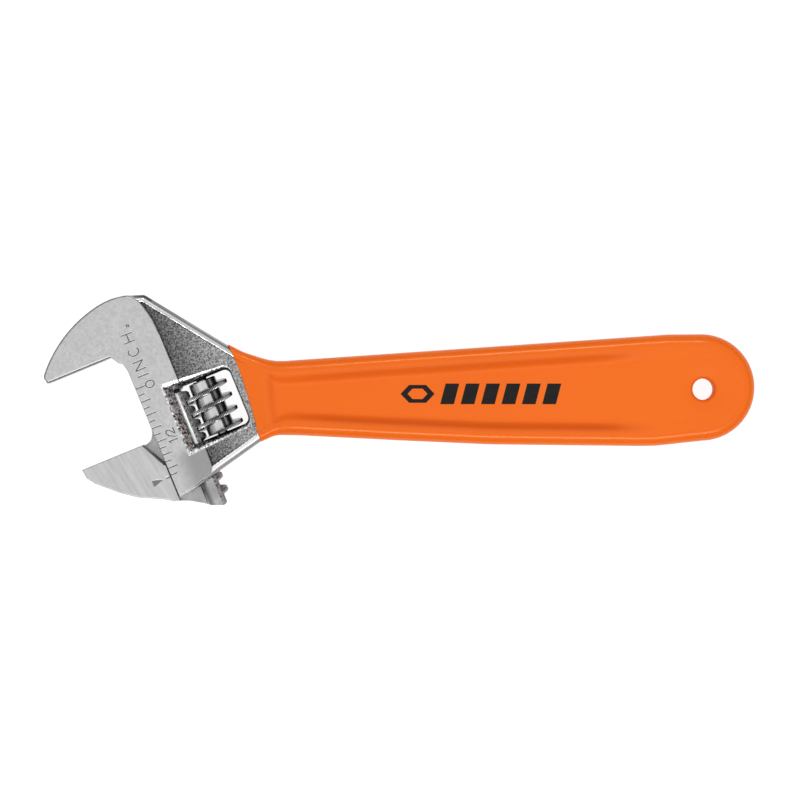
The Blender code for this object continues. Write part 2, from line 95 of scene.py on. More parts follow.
HOLE_AT, HOLE_RADIUS, METAL_HOLE_RADIUS = np.array([67.76, 2.39]), 2.4, 3.6
HANDLE_RIM, NECK_RIM, HANDLE_WEB = 3.75, 5.15, 2.2  # half thicknesses
GRIP_OUT, GRIP_EDGE_OUT, GRIP_WEB = 1.75, 0.22, 4.0
CAVITY_GAP = 0.08
END_CENTRE, END_RADIUS = np.array([67.35, 2.78]), 10.15


# ---------------- plan drawing
def arc(centre, radius, start, end, steps):
    """Points along an arc between two angles in degrees."""
    angles = np.radians(np.linspace(start, end, steps + 1))
    return np.stack([centre[0] + radius * np.cos(angles), centre[1] + radius * np.sin(angles)], 1)


def rounded(corners):
    """A path through corners (x, y, radius), each rounded by an arc of its radius in steps of 8 degrees."""
    points = [Vector(c[:2]) for c in corners]
    path = [points[0]]
    for i in range(1, len(corners) - 1):
        radius = corners[i][2]
        before = (points[i - 1] - points[i]).normalized()
        after = (points[i + 1] - points[i]).normalized()
        turn = math.pi - before.angle(after)
        if radius == 0 or turn < 1e-3:
            path.append(points[i])
            continue
        reach = radius * math.tan(turn / 2)
        centre = points[i] + (before + after).normalized() * (radius / math.cos(turn / 2))
        start = points[i] + before * reach - centre
        sense = 1 if before.x * after.y - before.y * after.x < 0 else -1
        steps = max(2, math.ceil(turn / math.radians(8.0)))
        for k in range(steps + 1):
            path.append(centre + Matrix.Rotation(sense * turn * k / steps, 2) @ start)
    path.append(points[-1])
    return np.array([tuple(p) for p in path])


def to_plan(points):
    """Head-frame points in the wrench's plan."""
    p = np.asarray(points, float).reshape(-1, 2)
    along = np.array([HEAD_COS, HEAD_SIN])
    across = np.array([-HEAD_SIN, HEAD_COS])
    return HEAD_AT + p[:, :1] * along + p[:, 1:] * across


def to_head(points):
    """Plan points in the head frame."""
    d = np.asarray(points, float)[:, :2] - HEAD_AT
    x = d[:, 0] * HEAD_COS + d[:, 1] * HEAD_SIN
    y = -d[:, 0] * HEAD_SIN + d[:, 1] * HEAD_COS
    return np.stack([x, y], 1)


def respace(path, pitch, closed=True):
    """Points along a path no further apart than pitch, its own corners kept."""
    ends = np.roll(path, -1, axis=0) if closed else path[1:]
    out = []
    for a, b in zip(path, ends):
        count = max(1, math.ceil(np.linalg.norm(b - a) / pitch - 1e-6))
        out += [a + (b - a) * k / count for k in range(count)]
    if not closed:
        out.append(path[-1])
    return np.array(out)


def ease(value, start, end):
    """0 up to start, 1 from end on, and a smooth step between them."""
    share = np.clip((value - start) / (end - start), 0, 1)
    return share * share * (3 - 2 * share)


def depth(points, loop):
    """Distance of each point to a closed loop, positive inside it."""
    best = np.full(len(points), 1e9)
    inside = np.zeros(len(points), bool)
    x, y = points[:, 0], points[:, 1]
    for a, b in zip(loop, np.roll(loop, -1, axis=0)):
        d = b - a
        length = d @ d
        if length < 1e-14:
            continue
        t = np.clip(((x - a[0]) * d[0] + (y - a[1]) * d[1]) / length, 0, 1)
        best = np.minimum(best, (x - a[0] - t * d[0]) ** 2 + (y - a[1] - t * d[1]) ** 2)
        if a[1] != b[1]:
            crosses = (a[1] > y) != (b[1] > y)
            inside ^= crosses & (x < (b[0] - a[0]) * (y - a[1]) / (b[1] - a[1]) + a[0])
    return np.sqrt(best) * np.where(inside, 1, -1)


def line_distance(points, strokes):
    """Distance of each point to the nearest of some open strokes."""
    best = np.full(len(points), 1e9)
    for stroke in strokes:
        for a, b in zip(stroke[:-1], stroke[1:]):
            d = b - a
            t = np.clip(((points - a) @ d) / max(d @ d, 1e-12), 0, 1)
            best = np.minimum(best, ((points - a - t[:, None] * d) ** 2).sum(1))
    return np.sqrt(best)


# ---------------- plans
THROAT = [(-14.75, 0.0, 0), (0.45, 0.0, 0.15), (1.75, -2.05, 0.4), (2.35, -2.15, 0.4), (2.87, -4.3, 3)]
CROWN_END = 101  # degrees: the head's two arcs meet here in one tangent
CROWN = arc((5.0, -4.2), 16.2, 67, CROWN_END, 12)
JAW_BACK = arc((7.52, -17.06), 29.3, CROWN_END, 139.2, 20)[1:]
JAW_TIP = rounded([(-14.7, 2.05, 0), (-15.05, 1.34, 0.8), (-14.75, 0.0, 0)])[:-1]


def metal_outline():
    """The forging's edge, from the throat round the foot, the handle, the peak and the fixed jaw."""
    foot = [(2.9, -34.95, 0.3), (5.6, -34.7, 4), (7.8, -34.2, 4), (13.3, -32.6, 0)]
    throat = to_plan(rounded(THROAT + foot))
    low = rounded([(-40.06, -15.77, 0), (-26.6, -6.15, 11), (0.1, -7.3, 200), (35.0, -8.45, 100),
                   (57.0, -8.6, 30), (66.0, -7.35, 0)])
    end = arc(END_CENTRE, END_RADIUS, -90, 90, 40)
    crown_end = to_plan([(9.6, 11.3)])[0]
    top = rounded([(60.0, 12.85, 0), (-29.1, 6.6, 16), (-56.9, 23.42, 0.8), (*crown_end, 0)])
    crown = to_plan(CROWN[4:])
    back = to_plan(np.concatenate([JAW_BACK, JAW_TIP]))
    return np.concatenate([throat, low, end, top[:-1], crown, back])


def cheek_outline():
    """The ground cheek: it shares the head's edge at the throat and crown and ends short of the neck."""
    foot = [(2.9, -34.6, 0), (5.6, -34.05, 8), (10.0, -32.8, 8), (11.4, -32.1, 0.6)]
    side = [(12.3, -31.0, 3), (12.55, -20.0, 40), (12.5, 4.0, 14), (11.2, 9.2, 5), (9.2, 11.45, 0)]
    return to_plan(np.concatenate([rounded(THROAT + foot + side), CROWN[7:], JAW_BACK, JAW_TIP]))


def window_outline():
    """The worm's window, with its right corners rounded."""
    w = WINDOW
    c = w["corner"]
    left = [(w["left"], w["bottom"]), (w["left"], w["top"])]
    high = arc((w["right"] - c, w["top"] - c), c, 90, 0, 8)
    low = arc((w["right"] - c, w["bottom"] + c), c, 0, -90, 8)
    return to_plan(np.concatenate([left, high, low]))


def dip_line():
    """Where the vinyl ends on the neck: a slanted line, a little bowed."""
    return np.array([(-38.25, 12.45), (-37.1, 9.9), (-36.0, 7.3), (-34.8, 3.9), (-33.8, 0.7), (-32.6, -3.3),
                     (-31.6, -7.5), (-30.9, -9.35)])


def grip_outline():
    """The sleeve's edge, closed along the line where the vinyl ends."""
    low = rounded([(-30.9, -9.35, 0), (-27.6, -7.85, 6), (-22.0, -7.95, 30), (0.1, -9.06, 200),
                   (20.0, -9.95, 100), (57.0, -10.35, 40), (66.0, -9.15, 0)])
    end = arc(END_CENTRE, END_RADIUS + GRIP_OUT - 0.01, -88, 89, 60)
    top = rounded([(60.0, 14.62, 0), (-28.2, 8.55, 14), (-35.0, 10.75, 12), (-38.25, 12.45, 0)])
    return np.concatenate([low[:-1], end, top, dip_line()[1:-1]])


METAL, CHEEK, WINDOW_LOOP, GRIP = metal_outline(), cheek_outline(), window_outline(), grip_outline()


def circle(centre, radius, steps):
    return arc(centre, radius, 0, 360, steps)[:-1]


# ---------------- engraved scale
TICKS, TICK_STEP, FIRST_TICK = 14, 1.5875, -8.7


def numeral_strokes():
    """Zero beside the first tick, and a half further down: a one, a slash and a two."""
    turn = np.linspace(0, 2 * np.pi, 25)
    zero = np.stack([6.36 + 0.98 * np.cos(turn), FIRST_TICK - 0.05 + 0.78 * np.sin(turn)], 1)
    one = [(5.75, -22.65), (5.45, -22.3), (7.35, -22.3)]
    slash = [(7.3, -21.75), (5.75, -21.0)]
    two = [(5.95, -20.95), (5.62, -20.7), (5.5, -20.3), (5.62, -19.95), (5.95, -19.75), (6.3, -19.85),
           (7.35, -21.0), (7.35, -19.7)]
    return [zero, one, slash, two]


def unit_strokes():
    """The unit's name and a full stop, reading up the slide, letter tops towards -x."""
    low, high, width, gap, dot = 6.85, 4.5, 1.85, 1.45, 0.42
    middle = (low + high) / 2
    bow = arc((0, 0), 1, 55, 305, 16)
    letters = {
        "I": [[(low, 0), (high, 0)]],
        "N": [[(low, 0), (high, 0), (low, width), (high, width)]],
        "C": [np.stack([middle - bow[:, 1] * (low - high) / 2, width / 2 + bow[:, 0] * width / 2], 1)],
        "H": [[(low, 0), (high, 0)], [(low, width), (high, width)], [(middle, 0), (middle, width)]],
        ".": [[(low, 0), (low - dot, 0), (low - dot, dot), (low, dot), (low, 0)]],
    }
    strokes = []
    y = -6.45
    for letter in "INCH.":
        strokes += [np.array(stroke, float) + (0, y) for stroke in letters[letter]]
        y += gap if letter == "I" else width + gap
    return strokes


def head_strokes():
    """Opening scale in sixteenths of an inch with its numerals and unit, as strokes in the plan."""
    ticks = []
    for i in range(TICKS):
        y = FIRST_TICK - TICK_STEP * i
        ticks.append([(3.05, y), (5.15 if i % 2 == 0 else 4.35, y)])
    return [to_plan(stroke) for stroke in ticks + numeral_strokes() + unit_strokes()]


STROKES = head_strokes()
STROKE_HALF, STROKE_DEPTH = 0.07, 0.07
POINTER = to_plan([(-1.47, -28.85), (-1.47, -30.41), (1.09, -29.63)])
POINTER_TICK = [to_plan([(1.85, -29.63), (2.6, -29.63)])]


def stroke_points(strokes, step=0.12):
    """Mesh points on and beside strokes, so that their grooves have crisp sides."""
    out = []
    for stroke in strokes:
        line = respace(np.asarray(stroke), step, closed=False)
        ahead = np.gradient(line, axis=0)
        ahead /= np.linalg.norm(ahead, axis=1)[:, None] + 1e-9
        side = np.stack([-ahead[:, 1], ahead[:, 0]], 1)
        out += [line + side * s for s in (-0.2, -0.12, -0.05, 0.05, 0.12, 0.2)]
    return np.concatenate(out)


def groove(points, strokes, half=STROKE_HALF):
    """1 in the middle of a stroke, 0 beside it."""
    return 1 - ease(line_distance(points, strokes), half * 0.7, half * 1.9)


def pointer_mask(points):
    """1 on the movable jaw's pointer, a small triangle and a tick."""
    return np.maximum(ease(depth(points, POINTER), -0.04, 0.06), groove(points, POINTER_TICK, 0.12))


# ---------------- heights, in millimetres from the mid-plane
def edge_drop(d, radius):
    """How far an edge rounded to a radius lies below its surface, at a distance d in from the edge."""
    left = radius - np.clip(d, 0, radius)
    return radius - np.sqrt(radius ** 2 - left ** 2)


def section(d, rim, web, run, crest, shoulder, wall, slope=0.27):
    """Half thickness at a depth in from the outline: rolled edge, crest, sloped shoulder, web."""
    brow = rim - slope * np.clip(d - run - crest, 0, shoulder)
    start = run + crest + shoulder
    return np.where(d < run, rim - edge_drop(d, run), brow + (web - brow) * ease(d, start, start + wall))


def neck_rim(x):
    """Half thickness of the forging's rims, which thin from the head to the handle."""
    return HANDLE_RIM + (NECK_RIM - HANDLE_RIM) * (1 - ease(x, -53, -31))


def neck_web(x):
    """Half thickness between the rims: the neck's hollow, then the handle's deeper one."""
    neck = 3.55 + (4.1 - 3.55) * (1 - ease(x, -50, -36))
    dip = ease(x, -29.5, -26.0) * (1 - ease(x, 40.0, 58.0))
    return neck + (HANDLE_WEB - neck) * dip


def forged_height(p):
    """The forging without its cheeks; its upper rim rises a little faster than its lower one."""
    x = p[:, 0]
    upper = ease(p[:, 1], 0.0, 4.0)
    run, shoulder = 1.3 - 0.1 * upper, 0.42 - 0.2 * upper
    return section(depth(p, METAL), neck_rim(x), neck_web(x), run, 0.1, shoulder, 0.2)


LEFT_WALL, TOP_WALL, LOW_WALL = 0, 1, 2
RIGHT_DRAFT = 0.35
RIDGE = 0.3  # share of the top and low walls' width that their outer ridge takes


def mouth_share(p):
    """0 at the worm's window and 1 where the drafted walls round it meet the surface; and which wall."""
    w = WINDOW
    h = to_head(p)
    across = np.clip((h[:, 0] - 10) / 12, -0.2, 1.1)
    left = (w["left"] - h[:, 0]) / 2.25
    top = (h[:, 1] - w["top"]) / (2.1 - 1.1 * across)
    low = (w["bottom"] - h[:, 1]) / (1.9 - 0.9 * across)
    right = (h[:, 0] - w["right"]) / RIGHT_DRAFT
    walls = np.stack([left, top, low, right])
    # the walls run round the window's right corners, widening towards the top and low walls
    reach = h[:, 0] - (w["right"] - w["corner"])
    rise = np.maximum(h[:, 1] - (w["top"] - w["corner"]), w["bottom"] + w["corner"] - h[:, 1])
    length = np.hypot(reach, rise) + 1e-9
    width = (RIGHT_DRAFT * reach ** 2 + rise ** 2) / length ** 2
    in_corner = (reach > 0) & (rise > 0)
    return np.where(in_corner, (length - w["corner"]) / width, walls.max(axis=0)), walls.argmax(axis=0)


def with_mouth(z, p):
    """A surface sunk towards the window: high at its left, over the slide's bore, lower past it.

    The walls above and below the window start with a gently sloped ridge, RIDGE of their width.
    """
    share, which = mouth_share(p)
    share = np.clip(share, 0, 1)
    ridged = (which == TOP_WALL) | (which == LOW_WALL)
    inner = 3.35 - 1.15 * ease(to_head(p)[:, 0], 10.6, 14.0)
    brow = z - np.where(ridged, 0.45 * (1 - np.maximum(share, 1 - RIDGE)), 0.0)
    inner = np.minimum(inner, brow)
    along = np.where(ridged, np.minimum(share / (1 - RIDGE), 1), share)
    return inner + (brow - inner) * np.sin(along * np.pi / 2)


def cheek_height(p):
    """The ground cheek's level and its edge, rounded most round the crown."""
    h = to_head(p)
    d = depth(p, CHEEK)
    crown = ease(h[:, 1], -0.9, -0.5) * (1 - ease(h[:, 0], 0.3, 0.9) * (1 - ease(h[:, 1], 0.5, 1.5)))
    radius = 0.17 + 0.26 * crown
    return np.where(d >= 0, HALF - edge_drop(d, radius), HALF - radius + d * 9.0)


def metal_skin(p):
    """The forging with its cheeks, before the window's walls are sunk into it."""
    z = np.maximum(forged_height(p), cheek_height(p))
    return np.where(depth(p, CHEEK) > 0.5, np.maximum(z, HALF), z)


def metal_top(p):
    return with_mouth(metal_skin(p), p) - STROKE_DEPTH * groove(p, STROKES)


def metal_bottom(p):
    return -with_mouth(metal_skin(p), p)


def side_loop():
    """The grip's outline drawn on past the dip edge, so that its sides alone round the skin."""
    keep = GRIP[:-(len(dip_line()) - 2)]
    past = [(-58.0, 22.5), (-58.0, 23.0), (-75.0, 23.0), (-75.0, -40.0), (-52.0, -25.0)]
    return np.concatenate([keep, past])


SIDE_LOOP = side_loop()


def hole_dish(p):
    """How far the skin sinks round the hang hole: a rolled lip in a shallow dish."""
    near = np.linalg.norm(p - HOLE_AT, axis=1) - HOLE_RADIUS
    return edge_drop(near, 0.85) + 0.35 * (1 - ease(near, 0.2, 3.2))


def grip_height(p):
    """The vinyl's skin: it follows the neck at its feathered edge and swells to the handle's soft I shape."""
    x, y = p[:, 0], p[:, 1]
    side = depth(p, SIDE_LOOP)
    dip_edge = dip_line()[::-1]
    along = x - np.interp(y, dip_edge[:, 1], dip_edge[:, 0])
    coat = GRIP_EDGE_OUT + (GRIP_OUT - GRIP_EDGE_OUT) * ease(along, -1.5, 11.0)
    rim = neck_rim(x) + coat
    # between the rims the vinyl fills the neck's hollow, sinks into the handle's and comes up at its end
    filled = ease(along, 0.2, 3.2)
    neck = (neck_web(x) + coat) * (1 - filled) + (rim - 0.06) * filled
    fade = 1 - ease(ease(x, 40.0, 60.0), 0, 1)
    sunk = ease(x + 0.1 * y, -30.4, -27.2) * fade
    web = neck * (1 - sunk) + GRIP_WEB * sunk
    web = np.where(x > 38, GRIP_WEB * fade + (rim - 0.16) * (1 - fade), web)
    swell = ease(along, 0.0, 9.0)
    z = section(side, rim, web, 1.4 + 0.9 * swell, 0.1 + 0.1 * swell, 0.45 + 0.05 * swell,
                0.25 + 2.35 * swell, 0.12 * sunk)
    ring = 0.04 * np.exp(-((side - 3.3) / 0.3) ** 2) * ease(x, 60.0, 68.0)
    feather = 0.36 * edge_drop(along, 0.5)
    return z - ring - feather - hole_dish(p)


# ---------------- mesh making
RINGS = (0.012, 0.045, 0.1, 0.17, 0.26, 0.38, 0.53, 0.72, 0.95, 1.15, 1.3, 1.41, 1.52, 1.62, 1.72,
         1.85, 2.05, 2.35)  # mesh lines at these depths in from an outline
COARSE = 1.0


def inward(loop):
    """Unit normals of a counter-clockwise loop, pointing in."""
    ahead = np.roll(loop, -1, axis=0) - loop
    behind = loop - np.roll(loop, 1, axis=0)
    ahead /= np.linalg.norm(ahead, axis=1)[:, None] + 1e-12
    behind /= np.linalg.norm(behind, axis=1)[:, None] + 1e-12
    mean = ahead + behind
    mean /= np.linalg.norm(mean, axis=1)[:, None] + 1e-12
    return np.stack([-mean[:, 1], mean[:, 0]], 1)


def is_ccw(loop):
    """Whether a loop runs counter-clockwise."""
    nxt = np.roll(loop, -1, axis=0)
    return (loop[:, 0] * nxt[:, 1] - nxt[:, 0] * loop[:, 1]).sum() > 0


def hex_grid(low, high, pitch):
    """Points of a triangular grid between two corners."""
    rows = np.arange(low[1], high[1], pitch * math.sqrt(3) / 2)
    out = []
    for i, y in enumerate(rows):
        xs = np.arange(low[0] + (pitch / 2 if i % 2 else 0), high[0], pitch)
        out.append(np.stack([xs, np.full(len(xs), y)], 1))
    return np.concatenate(out)


def field_points(loops, rings, spacing, grids, extra=()):
    """Plan points for a height field: loops, rings beside them, a grid between, and extra ones."""
    solid = loops[0] if is_ccw(loops[0]) else loops[0][::-1]
    loops = [solid] + [l[::-1] if is_ccw(l) else l for l in loops[1:]]
    fixed = [respace(l, spacing) for l in loops]
    rim_points = []
    for loop in fixed:
        normal = inward(loop)
        for r in rings:
            q = loop + normal * r
            rim_points.append(np.column_stack([q, np.full(len(q), r)]))
    rim_points = np.concatenate(rim_points)
    near = nearest(rim_points[:, :2], fixed)
    rim_points = rim_points[near > rim_points[:, 2] * 0.9]
    free = [rim_points[:, :2]]
    for low, high, pitch, margin in grids:
        g = hex_grid(low, high, pitch)
        free.append(g[nearest(g, fixed) > margin])
    for e in extra:
        free.append(e[nearest(e, fixed) > 0.05])
    return fixed, thin(np.concatenate(free), 0.05)


def nearest(points, loops):
    """Depth inside the solid between the first loop and the others."""
    d = depth(points, loops[0])
    for hole in loops[1:]:
        d = np.minimum(d, -depth(points, hole))
    return d


def thin(points, gap):
    """Points with near-duplicates dropped."""
    keys = np.round(points / gap).astype(np.int64)
    _, first = np.unique(keys, axis=0, return_index=True)
    return points[np.sort(first)]


def to_scene(points):
    """Plan points with heights in millimetres, as scene points in metres."""
    p = np.asarray(points, float).copy()
    p[:, 0] += SHIFT[0]
    p[:, 1] += SHIFT[1]
    p[:, 2] += HALF
    return p * SCALE_DOWN


def triangulate(fixed, free):
    """Plan points, and the counter-clockwise triangles that fill the solid between the loops."""
    verts = np.concatenate(fixed + [free])
    edges, base = [], 0
    for loop in fixed:
        count = len(loop)
        edges += [(base + i, base + (i + 1) % count) for i in range(count)]
        base += count
    out = delaunay_2d_cdt([Vector(v) for v in verts], edges, [], 0, 1e-5)
    plan = np.array([tuple(v) for v in out[0]])
    tris = np.array([f for f in out[2]])
    tris = tris[nearest(plan[tris].mean(axis=1), fixed) > 0]
    a, b, c = plan[tris[:, 0]], plan[tris[:, 1]], plan[tris[:, 2]]
    turn = (b[:, 0] - a[:, 0]) * (c[:, 1] - a[:, 1]) - (b[:, 1] - a[:, 1]) * (c[:, 0] - a[:, 0])
    tris[turn < 0] = tris[turn < 0][:, ::-1]
    return plan, tris[np.abs(turn) > 1e-9]


def rim_edges(tris):
    """Edges that only one triangle has, in order."""
    edges = {}
    for t in tris:
        for i in range(3):
            edges[(t[i], t[(i + 1) % 3])] = True
    return [e for e in edges if (e[1], e[0]) not in edges]


def field_solid(name, fixed, free, top, bottom):
    """A closed mesh over a plan, between two height functions."""
    plan, tris = triangulate(fixed, free)
    under = len(plan)
    faces = tris.tolist() + (tris[:, ::-1] + under).tolist()
    faces += [(int(q), int(p), int(p) + under, int(q) + under) for p, q in rim_edges(tris)]
    points = np.concatenate([np.column_stack([plan, top(plan)]), np.column_stack([plan, bottom(plan)])])
    mesh = bpy.data.meshes.new(name)
    mesh.from_pydata(to_scene(points).tolist(), [], faces)
    bm = bmesh.new()
    bm.from_mesh(mesh)
    bmesh.ops.delete(bm, geom=[v for v in bm.verts if not v.link_faces], context="VERTS")
    bm.to_mesh(mesh)
    bm.free()
    mesh.update()
    return link(name, mesh)


def link(name, mesh):
    """An object with a mesh, in the scene."""
    obj = bpy.data.objects.new(name, mesh)
    bpy.context.scene.collection.objects.link(obj)
    return obj


def head_point(x, y, z):
    """A scene point from head-frame millimetres."""
    plan_x, plan_y = to_plan([(x, y)])[0]
    return to_scene([(plan_x, plan_y, z)])[0]


def loft(name, rings):
    """A closed solid through rings of equally many scene points."""
    bm = bmesh.new()
    layers = [[bm.verts.new(p) for p in ring] for ring in rings]
    count = len(rings[0])
    for near, far in zip(layers, layers[1:]):
        for i in range(count):
            k = (i + 1) % count
            bm.faces.new((near[i], near[k], far[k], far[i]))
    bm.faces.new(layers[0])
    bm.faces.new(layers[-1])
    bmesh.ops.recalc_face_normals(bm, faces=bm.faces)
    mesh = bpy.data.meshes.new(name)
    bm.to_mesh(mesh)
    bm.free()
    return link(name, mesh)


def turned(name, x, levels, segments=64):
    """A round solid along the head frame's y, through (radius, y) levels."""
    rings = []
    for radius, y in levels:
        angles = [2 * math.pi * i / segments for i in range(segments)]
        rings.append([head_point(x + radius * math.cos(a), y, radius * math.sin(a)) for a in angles])
    return loft(name, rings)


def prism(name, outline, low, high):
    """A head-frame outline between two heights."""
    return loft(name, [[head_point(x, y, z) for x, y in outline] for z in (low, high)])


def combine(target, tool, operation):
    """Boolean with a closed tool, applied, and the tool removed."""
    modifier = target.modifiers.new("cut", "BOOLEAN")
    modifier.operation = operation
    modifier.object = tool
    graph = bpy.context.evaluated_depsgraph_get()
    uncut = target.data
    target.data = bpy.data.meshes.new_from_object(target.evaluated_get(graph))
    target.modifiers.clear()
    bpy.data.meshes.remove(uncut)
    bpy.data.objects.remove(tool)


def smooth(obj, angle):
    """Smooth shading that keeps edges sharper than an angle in degrees."""
    obj.data.shade_smooth()
    obj.data.set_sharp_from_angle(angle=math.radians(angle))


def plan_of(obj):
    """An object's mesh points in millimetres: plan x and y, and z from the mid-plane."""
    co = np.empty(len(obj.data.vertices) * 3, np.float32)
    obj.data.vertices.foreach_get("co", co)
    p = co.reshape(-1, 3).astype(float) / SCALE_DOWN
    p[:, 0] -= SHIFT[0]
    p[:, 1] -= SHIFT[1]
    p[:, 2] -= HALF
    return p


def paint(obj, **masks):
    """Stores masks as point attributes for the materials."""
    for name, values in masks.items():
        layer = obj.data.attributes.get(name) or obj.data.attributes.new(name, "FLOAT", "POINT")
        layer.data.foreach_set("value", np.asarray(values, np.float32))


# ---------------- materials
def new_material(name):
    """A material with a Principled shader on its output."""
    material = bpy.data.materials.new(name)
    material.use_nodes = True
    tree = material.node_tree
    tree.nodes.clear()
    output = tree.nodes.new("ShaderNodeOutputMaterial")
    shader = tree.nodes.new("ShaderNodeBsdfPrincipled")
    tree.links.new(shader.outputs[0], output.inputs[0])
    return material, tree, shader


class Nodes:
    """Short forms for the nodes that the materials share."""

    def __init__(self, tree):
        self.tree = tree
        self.place = tree.nodes.new("ShaderNodeTexCoord").outputs["Object"]

    def plug(self, socket, value):
        if isinstance(value, bpy.types.NodeSocket):
            self.tree.links.new(value, socket)
        else:
            socket.default_value = value

    def stretched(self, turn, along, across):
        """Coordinates turned by an angle, then scaled along and across it."""
        node = self.tree.nodes.new("ShaderNodeMapping")
        node.vector_type = "TEXTURE"
        node.inputs["Scale"].default_value = (1 / along, 1 / across, 1.0)
        node.inputs["Rotation"].default_value = (0, 0, turn)
        self.tree.links.new(self.place, node.inputs["Vector"])
        return node.outputs[0]

    def noise(self, scale, detail=3.0, rough=0.55, vector=None):
        node = self.tree.nodes.new("ShaderNodeTexNoise")
        node.inputs["Scale"].default_value = scale
        node.inputs["Detail"].default_value = detail
        node.inputs["Roughness"].default_value = rough
        self.tree.links.new(vector or self.place, node.inputs["Vector"])
        return node.outputs["Fac"]

    def cells(self, scale):
        node = self.tree.nodes.new("ShaderNodeTexVoronoi")
        node.inputs["Scale"].default_value = scale
        self.tree.links.new(self.place, node.inputs["Vector"])
        return node.outputs["Distance"]

    def ramp(self, value, low, high, out_low=0.0, out_high=1.0):
        node = self.tree.nodes.new("ShaderNodeMapRange")
        self.plug(node.inputs[0], value)
        for i, number in enumerate((low, high, out_low, out_high)):
            self.plug(node.inputs[i + 1], number)
        return node.outputs[0]

    def math(self, operation, a, b=0.0):
        node = self.tree.nodes.new("ShaderNodeMath")
        node.operation = operation
        self.plug(node.inputs[0], a)
        self.plug(node.inputs[1], b)
        return node.outputs[0]

    def mask(self, name):
        node = self.tree.nodes.new("ShaderNodeAttribute")
        node.attribute_name = name
        return node.outputs["Fac"]

    def mix(self, share, a, b):
        """Mixes two colours, where a single number stands for a grey."""
        node = self.tree.nodes.new("ShaderNodeMix")
        node.data_type = "RGBA"
        self.plug(node.inputs["Factor"], share)
        for socket, value in ((node.inputs[6], a), (node.inputs[7], b)):
            if isinstance(value, float):
                value = (value, value, value)
            self.plug(socket, value if isinstance(value, bpy.types.NodeSocket) else (*value, 1.0))
        return node.outputs[2]

    def blend(self, share, a, b):
        node = self.tree.nodes.new("ShaderNodeMix")
        self.plug(node.inputs["Factor"], share)
        self.plug(node.inputs[2], a)
        self.plug(node.inputs[3], b)
        return node.outputs[0]

    def bump(self, height, strength, distance, below=None):
        node = self.tree.nodes.new("ShaderNodeBump")
        self.plug(node.inputs["Strength"], strength)
        node.inputs["Distance"].default_value = distance
        self.tree.links.new(height, node.inputs["Height"])
        if below is not None:
            self.tree.links.new(below, node.inputs["Normal"])
        return node.outputs[0]


def ground_tone(n, mottle, clouds):
    """The ground cheeks: fine mottle, long grinding streaks, and painted shade on a strip beside the hollow.
    """
    streaks = n.noise(300.0, 3.0, 0.6, n.stretched(-0.9, 0.4, 2.5))
    tone = n.mix(n.ramp(mottle, 0.3, 0.7), 0.42, 0.53)
    tone = n.mix(n.ramp(streaks, 0.35, 0.7, 0.0, 0.35), tone, 0.51)
    tone = n.mix(n.ramp(clouds, 0.35, 0.7, 0.0, 0.35), tone, 0.44)
    # painted shade on the lower cheek, where light falls off its slight slope
    return n.mix(n.math("MULTIPLY", n.mask("dull"), 0.85), tone, 0.25)


def blasted_tone(n, grain):
    """The sand-blasted hollow: dark specks, and painted shade that is darkest next to the cheek and lifts
    towards the grip.
    """
    pits = n.math("MULTIPLY", n.cells(2600.0), 0.4)
    speck = n.ramp(n.math("ADD", n.math("MULTIPLY", grain, 0.75), pits), 0.40, 0.72)
    return n.mix(n.mask("shade"), n.mix(speck, 0.010, 0.17), n.mix(speck, 0.09, 0.42))


def torn_tone(n, wall, ridge):
    """The rough plated walls round the worm's window, brightest on the left wall and the ridges; the ridges'
    brightness is partly painted highlight.
    """
    coarse = n.ramp(n.noise(1700.0, 3.0, 0.6), 0.40, 0.58)
    tone = n.mix(coarse, n.mix(wall, 0.04, 0.05), n.mix(wall, 0.62, 0.95))
    # partly painted highlight: the ridges are painted bright over the torn plating
    return n.mix(ridge, tone, n.mix(coarse, 0.30, 0.97))


def forged_steel():
    """Plated forging: ground cheeks, bright rims, a dark sand-blasted hollow and painted shade, told apart by
    masks.
    """
    material, tree, shader = new_material("Plated_forging")
    n = Nodes(tree)
    cheek, cast, mouth, wall, ridge, ink = map(n.mask, ("cheek", "cast", "mouth", "wall", "ridge", "ink"))
    mottle = n.noise(1500.0, 3.0, 0.6)
    clouds = n.noise(160.0, 3.0)
    grain = n.noise(2400.0, 2.0, 0.7)
    colour = n.mix(n.ramp(clouds, 0.3, 0.7), 0.78, 0.84)
    # painted shade: the rims' rolled outer edges are painted dark grey
    colour = n.mix(n.mask("roll"), colour, (0.26, 0.26, 0.265))
    colour = n.mix(cast, colour, blasted_tone(n, grain))
    colour = n.mix(mouth, colour, torn_tone(n, wall, ridge))
    colour = n.mix(cheek, colour, ground_tone(n, mottle, clouds))
    # painted shade and painted dark reflection: thin dark lines round the crown, along the jaw's face, at the
    # peak and right of the window
    colour = n.mix(n.mask("edge"), colour, 0.045)
    n.plug(shader.inputs["Base Color"], n.mix(ink, colour, 0.09))
    rough = n.blend(cast, 0.22, 0.52)
    rough = n.blend(mouth, rough, 0.30)
    rough = n.blend(cheek, rough, n.ramp(mottle, 0.3, 0.7, 0.36, 0.46))
    n.plug(shader.inputs["Roughness"], n.blend(ink, rough, 0.6))
    shader.inputs["Metallic"].default_value = 1.0
    sand = n.bump(grain, n.math("MULTIPLY", cast, 0.9), 0.00012)
    carved = n.blend(wall, n.math("MULTIPLY", n.math("SUBTRACT", mouth, ridge), 0.4), 0.8)
    lumps = n.bump(n.noise(1250.0, 2.0, 0.7), carved, 0.0002, sand)
    n.plug(shader.inputs["Normal"], n.bump(mottle, n.math("MULTIPLY", cheek, 0.16), 0.00002, lumps))
    return material


